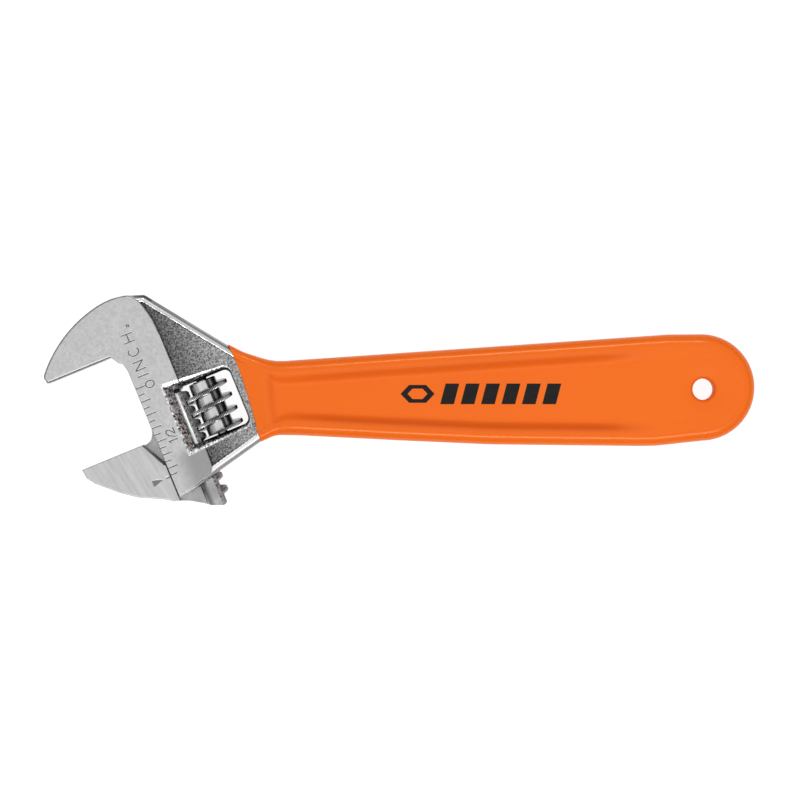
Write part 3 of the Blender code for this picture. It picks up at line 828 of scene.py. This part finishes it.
def ground_jaw():
    """The movable jaw: cheeks with short grinding lines, a plain rod, a dark pitted rack and painted shade on
    the chamfer.
    """
    material, tree, shader = new_material("Ground_jaw_steel")
    n = Nodes(tree)
    cheek, cast, ink, edge = map(n.mask, ("cheek", "cast", "ink", "edge"))
    streaks = n.noise(420.0, 3.0, 0.6, n.stretched(-1.02, 0.3, 4.0))
    mottle = n.noise(1500.0, 3.0, 0.6)
    clouds = n.noise(220.0, 2.0)
    grain = n.noise(2000.0, 2.0, 0.7)
    ground = n.mix(n.ramp(streaks, 0.3, 0.7), 0.41, 0.51)
    ground = n.mix(n.ramp(mottle, 0.35, 0.7, 0.0, 0.3), ground, 0.53)
    plain = n.mix(n.ramp(clouds, 0.3, 0.7), 0.30, 0.46)
    plain = n.mix(n.ramp(mottle, 0.55, 0.75, 0.0, 0.5), plain, 0.20)
    rack = n.mix(n.ramp(grain, 0.38, 0.62), 0.03, 0.36)
    colour = n.mix(cast, plain, rack)
    colour = n.mix(cheek, colour, ground)
    # painted shade on the chamfer along the slanted edge
    colour = n.mix(edge, colour, n.mix(n.ramp(mottle, 0.3, 0.7), 0.30, 0.46))
    n.plug(shader.inputs["Base Color"], n.mix(ink, colour, 0.19))
    rough = n.blend(cheek, n.blend(cast, 0.3, 0.45), n.ramp(streaks, 0.3, 0.7, 0.36, 0.46))
    n.plug(shader.inputs["Roughness"], n.blend(ink, rough, 0.6))
    shader.inputs["Metallic"].default_value = 1.0
    pits = n.bump(grain, n.math("MULTIPLY", cast, 0.8), 0.00012)
    n.plug(shader.inputs["Normal"], n.bump(streaks, n.math("MULTIPLY", cheek, 0.2), 0.00002, pits))
    return material


def worm_steel():
    """Turned and plated worm: glossy, a little dark, with painted shade in its serrations' roots, on its
    flanks and on its crest's upper side, and painted highlight and reflection on its crest and core.
    """
    material, tree, shader = new_material("Turned_worm_steel")
    n = Nodes(tree)
    lines = n.noise(1500.0, 2.0, 0.6, n.stretched(JAW_ANGLE, 0.3, 2.5))
    clouds = n.noise(420.0, 2.0)
    colour = n.mix(n.ramp(lines, 0.3, 0.7), 0.34, 0.52)
    colour = n.mix(n.ramp(clouds, 0.4, 0.6, 0.0, 0.6), colour, 0.22)
    # painted highlight: a bright patch on the round core
    colour = n.mix(n.math("MULTIPLY", n.mask("facet"), 0.6), colour, 0.78)
    # painted shade in the serrations' roots, on the flanks and on the crest's upper side; painted highlight
    # on the crest; a painted dark reflection as a band on the core
    tones = {"band": 0.04, "flank": 0.12, "crest": 0.72, "rib": 0.012, "upper_crest": 0.13}
    for mask, tone in tones.items():
        colour = n.mix(n.mask(mask), colour, tone)
    n.plug(shader.inputs["Base Color"], colour)
    n.plug(shader.inputs["Roughness"], n.ramp(clouds, 0.3, 0.7, 0.18, 0.32))
    shader.inputs["Metallic"].default_value = 1.0
    n.plug(shader.inputs["Normal"], n.bump(lines, 0.25, 0.00003))
    return material


def spring_wire():
    """Bright drawn wire."""
    material, tree, shader = new_material("Spring_wire")
    n = Nodes(tree)
    lines = n.noise(2500.0, 2.0)
    n.plug(shader.inputs["Base Color"], n.mix(lines, (0.35, 0.34, 0.33), (0.55, 0.54, 0.52)))
    n.plug(shader.inputs["Roughness"], n.ramp(lines, 0.3, 0.7, 0.22, 0.38))
    shader.inputs["Metallic"].default_value = 1.0
    return material


def dipped_vinyl():
    """Soft orange vinyl: even colour with slight pooling, painted shade in the hollow's walls, and a glossy
    skin that isn't quite flat.
    """
    material, tree, shader = new_material("Dipped_vinyl")
    n = Nodes(tree)
    pool = n.noise(28.0, 2.0)
    speck = n.noise(900.0, 2.0)
    colour = n.mix(n.ramp(pool, 0.3, 0.7), (0.84, 0.134, 0.003), (0.88, 0.145, 0.0035))
    colour = n.mix(n.ramp(speck, 0.62, 0.75, 0.0, 0.12), colour, (0.97, 0.19, 0.012))
    # painted shade in the walls of the handle's hollow
    colour = n.mix(n.math("MULTIPLY", n.mask("hollow"), 0.75), colour, (0.68, 0.088, 0.003))
    n.plug(shader.inputs["Base Color"], colour)
    gloss = n.ramp(n.noise(120.0, 2.0), 0.3, 0.7, 0.17, 0.25)
    n.plug(shader.inputs["Roughness"], n.blend(n.mask("matt"), gloss, 0.52))
    shader.inputs["Specular IOR Level"].default_value = 0.4
    shader.inputs["Specular Tint"].default_value = (1.0, 0.82, 0.55, 1.0)
    shader.inputs["Subsurface Weight"].default_value = 0.08
    shader.inputs["Subsurface Scale"].default_value = 0.001
    shader.inputs["Subsurface Radius"].default_value = (1.0, 0.35, 0.12)
    waves = n.bump(n.noise(110.0, 2.0), 0.35, 0.0004)
    n.plug(shader.inputs["Normal"], n.bump(n.noise(1400.0, 2.0), 0.08, 0.00004, waves))
    return material


def print_ink():
    """A thin, nearly matt black film."""
    material, tree, shader = new_material("Black_print_ink")
    n = Nodes(tree)
    film = n.noise(700.0, 3.0)
    tone = n.mix(n.ramp(film, 0.35, 0.7), (0.006, 0.005, 0.005), (0.012, 0.010, 0.009))
    n.plug(shader.inputs["Base Color"], tone)
    n.plug(shader.inputs["Roughness"], n.ramp(film, 0.3, 0.7, 0.42, 0.55))
    shader.inputs["Specular IOR Level"].default_value = 0.15
    n.plug(shader.inputs["Normal"], n.bump(film, 0.1, 0.00002))
    return material


def studio_floor():
    """A white light table: it glows a little, so that it stays white under soft light."""
    material, tree, shader = new_material("Studio_floor")
    n = Nodes(tree)
    n.plug(shader.inputs["Base Color"], n.mix(n.noise(3.0, 2.0), 0.22, 0.24))
    shader.inputs["Roughness"].default_value = 0.9
    shader.inputs["Specular IOR Level"].default_value = 0.1
    shader.inputs["Emission Color"].default_value = (1.0, 1.0, 1.0, 1.0)
    shader.inputs["Emission Strength"].default_value = 0.92
    return material


# ---------------- pieces
def cut_slide(body):
    """The keyhole slot for the movable jaw, and the pin's bores above and below the window."""
    bore = ROD_RADIUS + SLIDE_GAP
    end = ROD_TOP + TRAVEL_UP
    rod = [(bore, -45), (bore, end - ROD_POINT_LENGTH), (ROD_POINT_RADIUS + SLIDE_GAP, end)]
    combine(body, turned("bore", ROD_X, rod), "DIFFERENCE")
    half = WEB_THICKNESS / 2 + SLIDE_GAP
    slot = [(-1.0, -45.0), (ROD_X, -45.0), (ROD_X, 3.8), (-1.0, 3.8)]
    combine(body, prism("slot", slot, -half, half), "DIFFERENCE")
    tip = PIN_RADIUS + PIN_BORE_GAP
    pin = [(tip, WINDOW["top"] - 1), (tip, PIN_TOP + 0.3)]
    combine(body, turned("pin_bore", WORM_X, pin, 32), "DIFFERENCE")
    wide = PIN_SCREW_RADIUS + PIN_BORE_GAP
    screw = [(wide, -40.0), (wide, WINDOW["bottom"] + 1)]
    combine(body, turned("screw_bore", WORM_X, screw, 32), "DIFFERENCE")


def rim_masks(flat, h, d):
    """Beside the neck's rims: 1 in the blasted hollow, and 1 on the rims' rolled edge, which is painted dark
    as painted shade.
    """
    low_rim = h[:, 1] < -24
    ragged = (0.07 * np.sin(flat[:, 0] * 9.1) + 0.06 * np.sin(flat[:, 0] * 23.0 + 1.0)
              + 0.04 * np.sin(flat[:, 1] * 31.0))
    inner_edge = np.where(low_rim, 1.78 + ragged, 1.64)
    # painted shade: dark at the outline, and on the upper rim fading towards its inner line
    low_roll = 1 - ease(d, 0.3, 0.6)
    high_roll = 1 - 0.52 * ease(d, 0.0, 0.9) - 0.48 * ease(d, 1.38, 1.48)
    return ease(d, inner_edge - 0.08, inner_edge + 0.08), np.where(low_rim, low_roll, high_roll)


def line_mask(flat, z, h, on_skin):
    """Thin painted dark lines, painted shade and painted dark reflection: round the crown, along the jaw's
    face, at the head's peak, right of the window.
    """
    d, dc = depth(flat, METAL), depth(flat, CHEEK)
    crown = (h[:, 1] > 1.0) * (1 - ease(d, 0.12, 0.3))
    face = (np.abs(h[:, 1]) < 0.6) * (h[:, 0] < 0.5) * (1 - ease(d, 0.1, 0.26))
    corner = np.array([(-58.9, 23.5), (-56.9, 23.45), (-55.3, 22.5)])
    peak = (1 - ease(line_distance(flat, [corner]), 0.38, 0.6)) * (dc < 0.1)
    past = -depth(flat, WINDOW_LOOP)
    lip = ease(h[:, 0], 15.0, 17.0) * (1 - ease(past, 0.26, 0.38)) * (past > -0.05)
    outline = np.maximum(crown, face) * (np.abs(z) > HALF - 1.2) * 0.85
    return np.maximum(outline, np.maximum(peak * on_skin, lip))


def ridge_mask(flat, h, share, which):
    """The torn ridges along the window's top and low walls, wider at its left corners, where a partly painted
    highlight goes.
    """
    start = 1 - RIDGE - 0.35 * (1 - ease(h[:, 0], 9.8, 11.4))
    torn = 0.05 * np.sin(flat[:, 0] * 17.0) + 0.04 * np.sin(flat[:, 0] * 41.0 + flat[:, 1] * 13.0)
    return ease(share + torn, start, start + 0.1) * ((which == TOP_WALL) | (which == LOW_WALL))


def paint_body(body):
    """Masks that tell the forging's finishes apart, and masks of painted shade."""
    p = plan_of(body)
    flat, z = p[:, :2], p[:, 2]
    h = to_head(flat)
    dc = depth(flat, CHEEK)
    share, which = mouth_share(flat)
    on_skin = np.abs(z) > with_mouth(metal_skin(flat), flat) - 0.2
    mouth = (1 - ease(share, 0.93, 1.02)) * on_skin
    hollow, roll = rim_masks(flat, h, depth(flat, METAL))
    paint(body, cheek=ease(dc, -0.06, 0.02) * (np.abs(z) > HALF - 0.45) * (1 - mouth),
          cast=hollow * (dc < -0.02) * on_skin * (1 - mouth), mouth=mouth,
          wall=mouth * (which == LEFT_WALL), ridge=ridge_mask(flat, h, share, which) * mouth,
          # painted shade: the rims' rolled edges, thin dark lines, the hollow next to the cheek and a strip
          # of the lower cheek
          roll=roll * (dc < 0) * on_skin, edge=line_mask(flat, z, h, on_skin),
          shade=ease(h[:, 0], 11.5, 23.5),
          dull=ease(h[:, 0], 3.5, 9.0) * (1 - ease(h[:, 1], -27.5, -24.0)),
          ink=groove(flat, STROKES, 0.065) * (z > HALF - 0.3))


def make_body(material):
    """Fixed jaw, head and handle core."""
    hole = circle(HOLE_AT, METAL_HOLE_RADIUS, 48)
    grids = [((-80, -24), (-29, 25), 0.24 * COARSE, 0.3), ((-29, -12), (80, 16), 1.4, 1.0)]
    ledge = respace(CHEEK, 0.22)
    ledge_in = inward(ledge) * (1 if is_ccw(CHEEK) else -1)
    extra = [stroke_points(STROKES)]
    extra += [ledge + ledge_in * r for r in (-0.3, -0.16, -0.02, 0.03, 0.1, 0.2)]
    fixed, free = field_points([METAL, WINDOW_LOOP, hole], RINGS, 0.35 * COARSE, grids, extra)
    body = field_solid("forged_body", fixed, free, metal_top, metal_bottom)
    cut_slide(body)
    smooth(body, 40)
    paint_body(body)
    body.data.materials.append(material)
    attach(body, "body")
    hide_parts("wrench_body")


def handle_cavity():
    """The handle, a little grown, as a cutter for the inside of the sleeve."""
    core = respace(METAL, 1.0)
    core = core[(core[:, 0] > -44) & (to_head(core)[:, 0] > 13.6)]
    grown = core - inward(core) * (CAVITY_GAP if is_ccw(core) else -CAVITY_GAP)
    lining = circle(HOLE_AT, METAL_HOLE_RADIUS - CAVITY_GAP, 48)
    fixed, free = field_points([grown, lining], RINGS[::2], 0.8, [((-40, -12), (80, 16), 1.0, 0.6)])
    return field_solid("cavity", fixed, free, lambda p: forged_height(p) + CAVITY_GAP,
                       lambda p: -forged_height(p) - CAVITY_GAP)


def paint_grip(grip):
    """Masks for painted shade in the hollow's walls and for the less glossy skin between the rims."""
    flat = plan_of(grip)[:, :2]
    x, y = flat[:, 0], flat[:, 1]
    d = depth(flat, SIDE_LOOP)
    # painted shade along the hollow's walls, deeper on the lower wall, and across its left end
    walls = np.exp(-((d - 3.9) / 0.9) ** 2) * ease(x, -30.0, -10.0) * (1 - ease(x, 44.0, 60.0))
    walls = walls * (0.55 + 0.45 * (y < 2))
    end = np.exp(-((x + 0.1 * y + 28.4) / 0.8) ** 2) * ease(d, 2.0, 3.5) * 0.5
    paint(grip, hollow=np.maximum(walls, end), matt=ease(d, 2.3, 2.9))


def make_grip(material):
    """The dipped sleeve, with the handle's cavity in it."""
    rings = RINGS + (2.6, 3.0, 3.4, 3.8, 4.2, 4.6, 5.0)
    grids = [((-40, -12), (80, 16), 0.55 * COARSE, 0.4)]
    steps = (0.0, 0.03, 0.1, 0.2, 0.35, 0.5, 0.7, 0.85, 1.1, 1.5, 2.0)
    hole, *spread = [circle(HOLE_AT, HOLE_RADIUS + step, 96) for step in steps]
    fixed, free = field_points([GRIP, hole], rings, 0.4 * COARSE, grids, spread)
    grip = field_solid("vinyl_grip", fixed, free, grip_height, lambda p: -grip_height(p))
    combine(grip, handle_cavity(), "DIFFERENCE")
    smooth(grip, 45)
    paint_grip(grip)
    grip.data.materials.append(material)
    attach(grip, "body")
    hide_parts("grip")


def mark_shapes():
    """Plan loops of the printed mark: a hexagon nut and a row of slanted bars."""
    middle, half = 1.35, 2.3
    nut = [[(4.05 + r * 1.65 * math.cos(a), middle + r * math.sin(a)) for a in np.radians(range(0, 360, 60))]
           for r in (half, 1.35)]
    shapes = [nut]
    width, pitch, lean = 3.05, 4.55, 1.2
    for i in range(6):
        x = 9.1 + i * pitch
        low = [(x, middle - half), (x + width, middle - half)]
        high = [(x + width + lean, middle + half), (x + lean, middle + half)]
        shapes.append([low + high])
    return shapes


def make_mark(material):
    """A plain printed mark where such grips carry one."""
    grids = [((0, -3), (40, 6), 0.4, 0.15)]
    for i, loops in enumerate(mark_shapes()):
        fixed, free = field_points([np.array(loop) for loop in loops], (0.06,), 0.3, grids)
        print_mark = field_solid(f"print_mark_{i}", fixed, free, lambda p: grip_height(p) + 0.02,
                                 lambda p: grip_height(p) - 0.03)
        smooth(print_mark, 60)
        print_mark.data.materials.append(material)
        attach(print_mark, "body")


JAW_SLOPE = [(0.05, -OPENING), (2.76, -26.3)]


def jaw_outline():
    """The movable jaw's cheek, in the head frame."""
    path = [(-14.95, -OPENING, 0), (0.0, -OPENING, 0.2), (2.76, -26.3, 0), (2.76, -35.95, 0),
            (-0.9, -33.5, 3), (-5.6, -31.3, 8), (-9.3, -28.5, 12), (-13.4, -24.7, 0), (-14.65, -22.9, 1),
            (-14.95, -OPENING, 0)]
    return rounded(path)[:-1]


def jaw_plate():
    """The jaw's plate: rounded edges, a chamfer along its slanted edge, and the pointer cut in."""
    outline = to_plan(jaw_outline())

    def side(p):
        return JAW_HALF - edge_drop(depth(p, outline), JAW_EDGE_ROUND)

    def marked_side(p):
        near = np.clip(CHAMFER_WIDTH - line_distance(p, [to_plan(JAW_SLOPE)]), 0, None)
        return side(p) - CHAMFER_FALL * near - 0.06 * pointer_mask(p)

    pointer_edge = stroke_points([np.concatenate([POINTER, POINTER[:1]])] + POINTER_TICK)
    fixed, free = field_points([outline], RINGS[:8], 0.3 * COARSE,
                               [((-80, -25), (-40, 5), 0.5 * COARSE, 0.35)], [pointer_edge])
    return field_solid("sliding_jaw", fixed, free, marked_side, lambda p: -side(p))


def add_slide(jaw):
    """The web and the rod with its rack, trimmed along the foot."""
    half = WEB_THICKNESS / 2
    web = rounded([(-3.0, -23.8, 0), (-0.4, -21.2, 0), (1.7, -20.5, 1.2), (2.5, -19.2, 2), (2.9, -17.4, 0),
                   (ROD_X, -17.4, 0), (ROD_X, -42.0, 0), (-3.0, -31.5, 0)])
    combine(jaw, prism("web", web, -half, half), "UNION")
    rod = [(ROD_RADIUS, -43), (ROD_RADIUS, ROD_TOP - ROD_POINT_LENGTH), (ROD_RADIUS - 0.35, ROD_TOP - 1.35),
           (ROD_POINT_RADIUS + 0.2, ROD_TOP - 0.15), (ROD_POINT_RADIUS - 0.2, ROD_TOP)]
    combine(jaw, turned("rod", ROD_X, rod, 72), "UNION")
    for i in range(-1, TEETH + 1):
        combine(jaw, tooth_gap(i), "DIFFERENCE")
    foot = rounded([(1.5, -34.9, 0), (4.7, -36.3, 3), (7.4, -38.0, 3), (8.7, -38.99, 0), (11.6, -40.14, 0.8),
                    (12.3, -39.3, 0), (16.0, -39.3, 0), (16.0, -50.0, 0), (1.5, -50.0, 0)])
    combine(jaw, prism("foot", foot, -9, 9), "DIFFERENCE")


def tooth_gap(index):
    """A cutter for the space under a rack tooth: eased corners, hollow like the worm, leaning as it does."""
    upper = FIRST_TOOTH - PITCH * index
    lower = upper - (PITCH if index < TEETH else 3 * PITCH)
    tip_x = ROD_X + ROD_RADIUS
    grow = (TOOTH_ROOT - TOOTH_TIP) / 2
    half = TOOTH_TIP / 2 + (0.35 if index < 0 else 0.0)
    brow = tip_x - 0.4
    outline = rounded([
        (tip_x + 1.5, upper + 0.2, 0), (tip_x - 0.05, upper - half + 0.15, 0),
        (brow, upper - half - 0.08, 0.3), (RACK_ROOT_X, upper - half - grow, 0.25),
        (RACK_ROOT_X, lower + half + grow, 0.25), (brow, lower + half + 0.08, 0.3),
        (tip_x - 0.05, lower + half - 0.15, 0), (tip_x + 1.5, lower - 0.2, 0)])
    lean = PITCH / (2 * math.pi * MESH_RADIUS)
    rings = []
    for z in (-5, -3.0, -2.4, -1.6, -0.8, 0, 0.8, 1.6, 2.4, 3.0, 5):
        root = min(WORM_X - math.sqrt(max(GAP_RADIUS ** 2 - z * z, 16.0)), brow - 0.2)
        share = (brow - root) / (brow - RACK_ROOT_X)
        rings.append([head_point(x if x > brow else brow - (brow - x) * share, y + lean * z, z)
                      for x, y in outline])
    return loft("gap", rings)


def paint_jaw(jaw):
    """Masks for the ground cheeks, the chamfer's painted shade, the pointer and the pitted rack."""
    p = plan_of(jaw)
    flat, z = p[:, :2], p[:, 2]
    h = to_head(flat)
    on_plate = (np.abs(z) > JAW_HALF - 0.3) * (h[:, 0] < 2.8)
    slope_edge = line_distance(flat, [to_plan(JAW_SLOPE)])
    step = (FIRST_TOOTH - h[:, 1]) / PITCH
    near_tooth = np.abs(step - np.round(step)) * PITCH < TOOTH_ROOT / 2 + 0.05
    gap_floor = (h[:, 0] > 11.6) & ~(near_tooth & (step > -0.5) & (step < TEETH + 0.5))
    paint(jaw, cheek=on_plate * ease(slope_edge, 0.54, 0.6), ink=pointer_mask(flat) * (z > JAW_HALF - 0.3),
          cast=ease(h[:, 0], 11.08, 11.28) * np.where(gap_floor, 0.55, 1.0),
          # painted shade on the chamfer
          edge=(1 - ease(slope_edge, 0.57, 0.63)) * (np.abs(z) > 1.7))


def make_jaw(material):
    """The movable jaw with its slide rod and rack."""
    jaw = jaw_plate()
    add_slide(jaw)
    smooth(jaw, 38)
    paint_jaw(jaw)
    jaw.data.materials.append(material)
    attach(jaw, "jaw")
    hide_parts("movable_jaw")


def thread_profile(turn):
    """The thread's section (radius, across) at a turn, serrated and tapered in at its upper end."""
    notch = 0.5 - 0.5 * math.cos(2 * math.pi * turn * SERRATIONS)
    taper = min(1.0, (THREAD_LAST - turn) * 9)
    rise = math.sqrt(max(0.0, 1 - (1 - taper) ** 2)) * 0.98
    top = CORE_RADIUS + (WORM_RADIUS - CORE_RADIUS) * rise + 0.04
    cut = 0.17 * notch * (taper > 0.99)
    root = CORE_RADIUS - 0.5
    half = [(root, 0.80), (CORE_RADIUS + 0.02, 0.72), (CORE_RADIUS + 0.2, 0.60), (top - 0.3, 0.46),
            (top - 0.1 - cut * 0.4, 0.40), (top - cut, 0.28)]
    half = [(max(radius, root), across) for radius, across in half]
    return [(radius, -across) for radius, across in half] + half[::-1]


def thread_rings():
    """Sections of the thread along its helix."""
    steps = SERRATIONS * 4
    rings = []
    for i in range(round((THREAD_LAST - THREAD_FIRST) * steps) + 1):
        turn = THREAD_FIRST + i / steps
        angle = 2 * math.pi * turn
        level = CREST_AT_RACK + PITCH * turn
        rings.append([head_point(WORM_X - r * math.cos(angle), level + across, r * math.sin(angle))
                      for r, across in thread_profile(turn)])
    return rings


def paint_worm(worm):
    """Masks for the serrated crest and the thread's flanks, with painted shade and highlight, and a painted
    dark reflection band and painted highlight patch on the core.
    """
    p = plan_of(worm)
    h, z = to_head(p), p[:, 2]
    aside = h[:, 0] - WORM_X
    radius = np.hypot(aside, z)
    turn = np.arctan2(z, -aside) / (2 * np.pi)
    # which winding a point belongs to, so that the serrations' phase follows the thread
    winding = np.round((h[:, 1] - CREST_AT_RACK) / PITCH - turn) + turn
    notch = 0.5 - 0.5 * np.cos(2 * np.pi * winding * SERRATIONS)
    across = (h[:, 1] - CREST_AT_RACK) / PITCH - winding
    # the crest's painted highlight, weaker towards its left ends
    crest = ease(radius, WORM_RADIUS - 0.4, WORM_RADIUS - 0.25) * (0.3 + 0.7 * ease(aside, -4.4, -2.4))
    on_core = radius < CORE_RADIUS + 0.1
    flank = ease(radius, CORE_RADIUS + 0.1, CORE_RADIUS + 0.4) * (1 - ease(radius, 4.7, 4.95)) * 0.7
    # painted shade in the serrations' roots, on the flanks and on the crest's upper side
    paint(worm, rib=notch * crest, crest=crest, upper_crest=crest * (across > 0), flank=flank,
          band=ease(aside, 0.75, 0.9) * (1 - 0.9 * ease(aside, 1.45, 1.6)) * on_core,
          facet=ease(aside, -2.5, -2.1) * (1 - ease(aside, 0.6, 0.75)) * on_core)


def make_worm(material):
    """Core with its thread; the crest is finely serrated so that a thumb can turn it."""
    bevel = 0.25
    core = [(CORE_RADIUS - bevel, WORM_BOTTOM), (CORE_RADIUS, WORM_BOTTOM + bevel),
            (CORE_RADIUS, WORM_TOP - bevel), (CORE_RADIUS - bevel, WORM_TOP)]
    worm = turned("knurled_worm", WORM_X, core, 96)
    combine(worm, loft("thread", thread_rings()), "UNION")
    combine(worm, turned("low_end", WORM_X, [(10, -40), (10, WORM_BOTTOM)], 24), "DIFFERENCE")
    bore = PIN_RADIUS + PIN_WORM_GAP
    combine(worm, turned("bore", WORM_X, [(bore, -40), (bore, 0)], 48), "DIFFERENCE")
    pocket = [(POCKET_RADIUS, WORM_TOP - POCKET_DEPTH), (POCKET_RADIUS, 0)]
    combine(worm, turned("pocket", WORM_X, pocket, 48), "DIFFERENCE")
    smooth(worm, 35)
    paint_worm(worm)
    worm.data.materials.append(material)
    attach(worm, "worm")
    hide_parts("worm")


def make_pin(material):
    """The pin, with its screw thread and slot at the lower end."""
    root = PIN_SCREW_RADIUS - 0.25
    levels = [(PIN_SCREW_RADIUS - 0.3, PIN_BOTTOM), (PIN_SCREW_RADIUS - 0.12, PIN_BOTTOM + 0.15)]
    y = PIN_BOTTOM + 0.5
    while y < -26.4:
        levels += [(PIN_SCREW_RADIUS, y), (root, y + 0.25)]
        y += 0.5
    levels += [(root, -25.9), (PIN_RADIUS, -25.8), (PIN_RADIUS, PIN_TOP - 0.3), (PIN_RADIUS - 0.3, PIN_TOP)]
    pin = turned("screwed_pin", WORM_X, levels, 48)
    slot = [(WORM_X - 3, PIN_BOTTOM - 1), (WORM_X + 3, PIN_BOTTOM - 1), (WORM_X + 3, PIN_BOTTOM + 0.9),
            (WORM_X - 3, PIN_BOTTOM + 0.9)]
    combine(pin, prism("pin_slot", slot, -0.25, 0.25), "DIFFERENCE")
    smooth(pin, 50)
    pin.data.materials.append(material)
    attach(pin, "body")
    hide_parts("worm_pin")


def make_spring(material):
    """The coil between the bottom of the worm's pocket and the top of the window."""
    radius, wire, turns, sides = 1.85, 0.2, 4.5, 12
    low, high = WORM_TOP - POCKET_DEPTH + 0.3 + wire, WINDOW["top"] - 0.1 - wire
    steps = int(turns * 48)
    rings = []
    for i in range(steps + 1):
        angle = 2 * math.pi * turns * i / steps
        level = low + (high - low) * i / steps
        ring = []
        for k in range(sides):
            a = 2 * math.pi * k / sides
            r = radius + wire * math.cos(a)
            y = level + wire * math.sin(a)
            ring.append(head_point(WORM_X + r * math.cos(angle), y, r * math.sin(angle)))
        rings.append(ring)
    spring = loft("coil_spring", rings)
    smooth(spring, 50)
    spring.data.materials.append(material)
    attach(spring, "body")
    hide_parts("worm_spring")


# ---------------- studio
FLOOR_GAP = 0.00005


def make_floor():
    """The plain floor, a hair below the wrench."""
    bm = bmesh.new()
    bmesh.ops.create_grid(bm, x_segments=8, y_segments=8, size=3.0)
    mesh = bpy.data.meshes.new("studio_floor")
    bm.to_mesh(mesh)
    bm.free()
    floor = link("studio_floor", mesh)
    floor.location.z = CAD_BOX[0].z - FLOOR_GAP
    floor.data.materials.append(studio_floor())


def area_light(name, place, target, size, power):
    """A rectangular white light that faces a target."""
    data = bpy.data.lights.new(name, "AREA")
    data.shape = "RECTANGLE"
    data.size, data.size_y = size
    data.energy = power
    lamp = bpy.data.objects.new(name, data)
    bpy.context.scene.collection.objects.link(lamp)
    lamp.location = place
    lamp.rotation_euler = (Vector(target) - Vector(place)).to_track_quat("-Z", "Y").to_euler()


def make_studio():
    """A pale tent: bright overhead, dimmer towards the horizon, with a long softbox in front."""
    world = bpy.data.worlds.new("studio_world")
    bpy.context.scene.world = world
    world.use_nodes = True
    tree = world.node_tree
    place = tree.nodes.new("ShaderNodeTexCoord")
    split = tree.nodes.new("ShaderNodeSeparateXYZ")
    ramp = tree.nodes.new("ShaderNodeValToRGB")
    stops = ((0.0, 0.22), (0.3, 0.34), (0.6, 0.58), (0.86, 1.10), (1.0, 0.92))
    while len(ramp.color_ramp.elements) < len(stops):
        ramp.color_ramp.elements.new(0.5)
    for element, (at, level) in zip(ramp.color_ramp.elements, stops):
        element.position = at
        element.color = (level, level, level, 1.0)
    tree.links.new(place.outputs["Generated"], split.inputs[0])
    tree.links.new(split.outputs["Z"], ramp.inputs[0])
    tree.links.new(ramp.outputs[0], tree.nodes["Background"].inputs["Color"])
    area_light("softbox_front", (0.0, -0.54, 0.98), (0, 0, 0), (0.7, 0.15), 3.3)
    for name, x, width, power in (("left", -0.035, 0.05, 0.45), ("right", 0.06, 0.10, 0.7)):
        area_light("strip_back_" + name, (x, 0.62, 0.93), (x / 2, 0, 0), (width, 0.12), power)


def make_camera():
    """Straight above the wrench, far off, framed as in the photograph."""
    sensor, field, distance = 36.0, 0.17822, 1.38
    aim_x, aim_y = SHIFT * SCALE_DOWN + (0.00013, -0.00002)
    data = bpy.data.cameras.new("photo_camera")
    data.sensor_width = sensor
    data.lens = distance * sensor / field
    data.clip_start, data.clip_end = 0.05, 20.0
    camera = bpy.data.objects.new("photo_camera", data)
    bpy.context.scene.collection.objects.link(camera)
    camera.location = (aim_x, aim_y, CAD_BOX[1].z + distance)
    bpy.context.scene.camera = camera


make_body(forged_steel())
make_grip(dipped_vinyl())
make_mark(print_ink())
make_jaw(ground_jaw())
steel = worm_steel()
make_worm(steel)
make_pin(steel)
make_spring(spring_wire())
make_floor()
make_studio()
make_camera()
bpy.context.scene.view_settings.view_transform = "Standard"
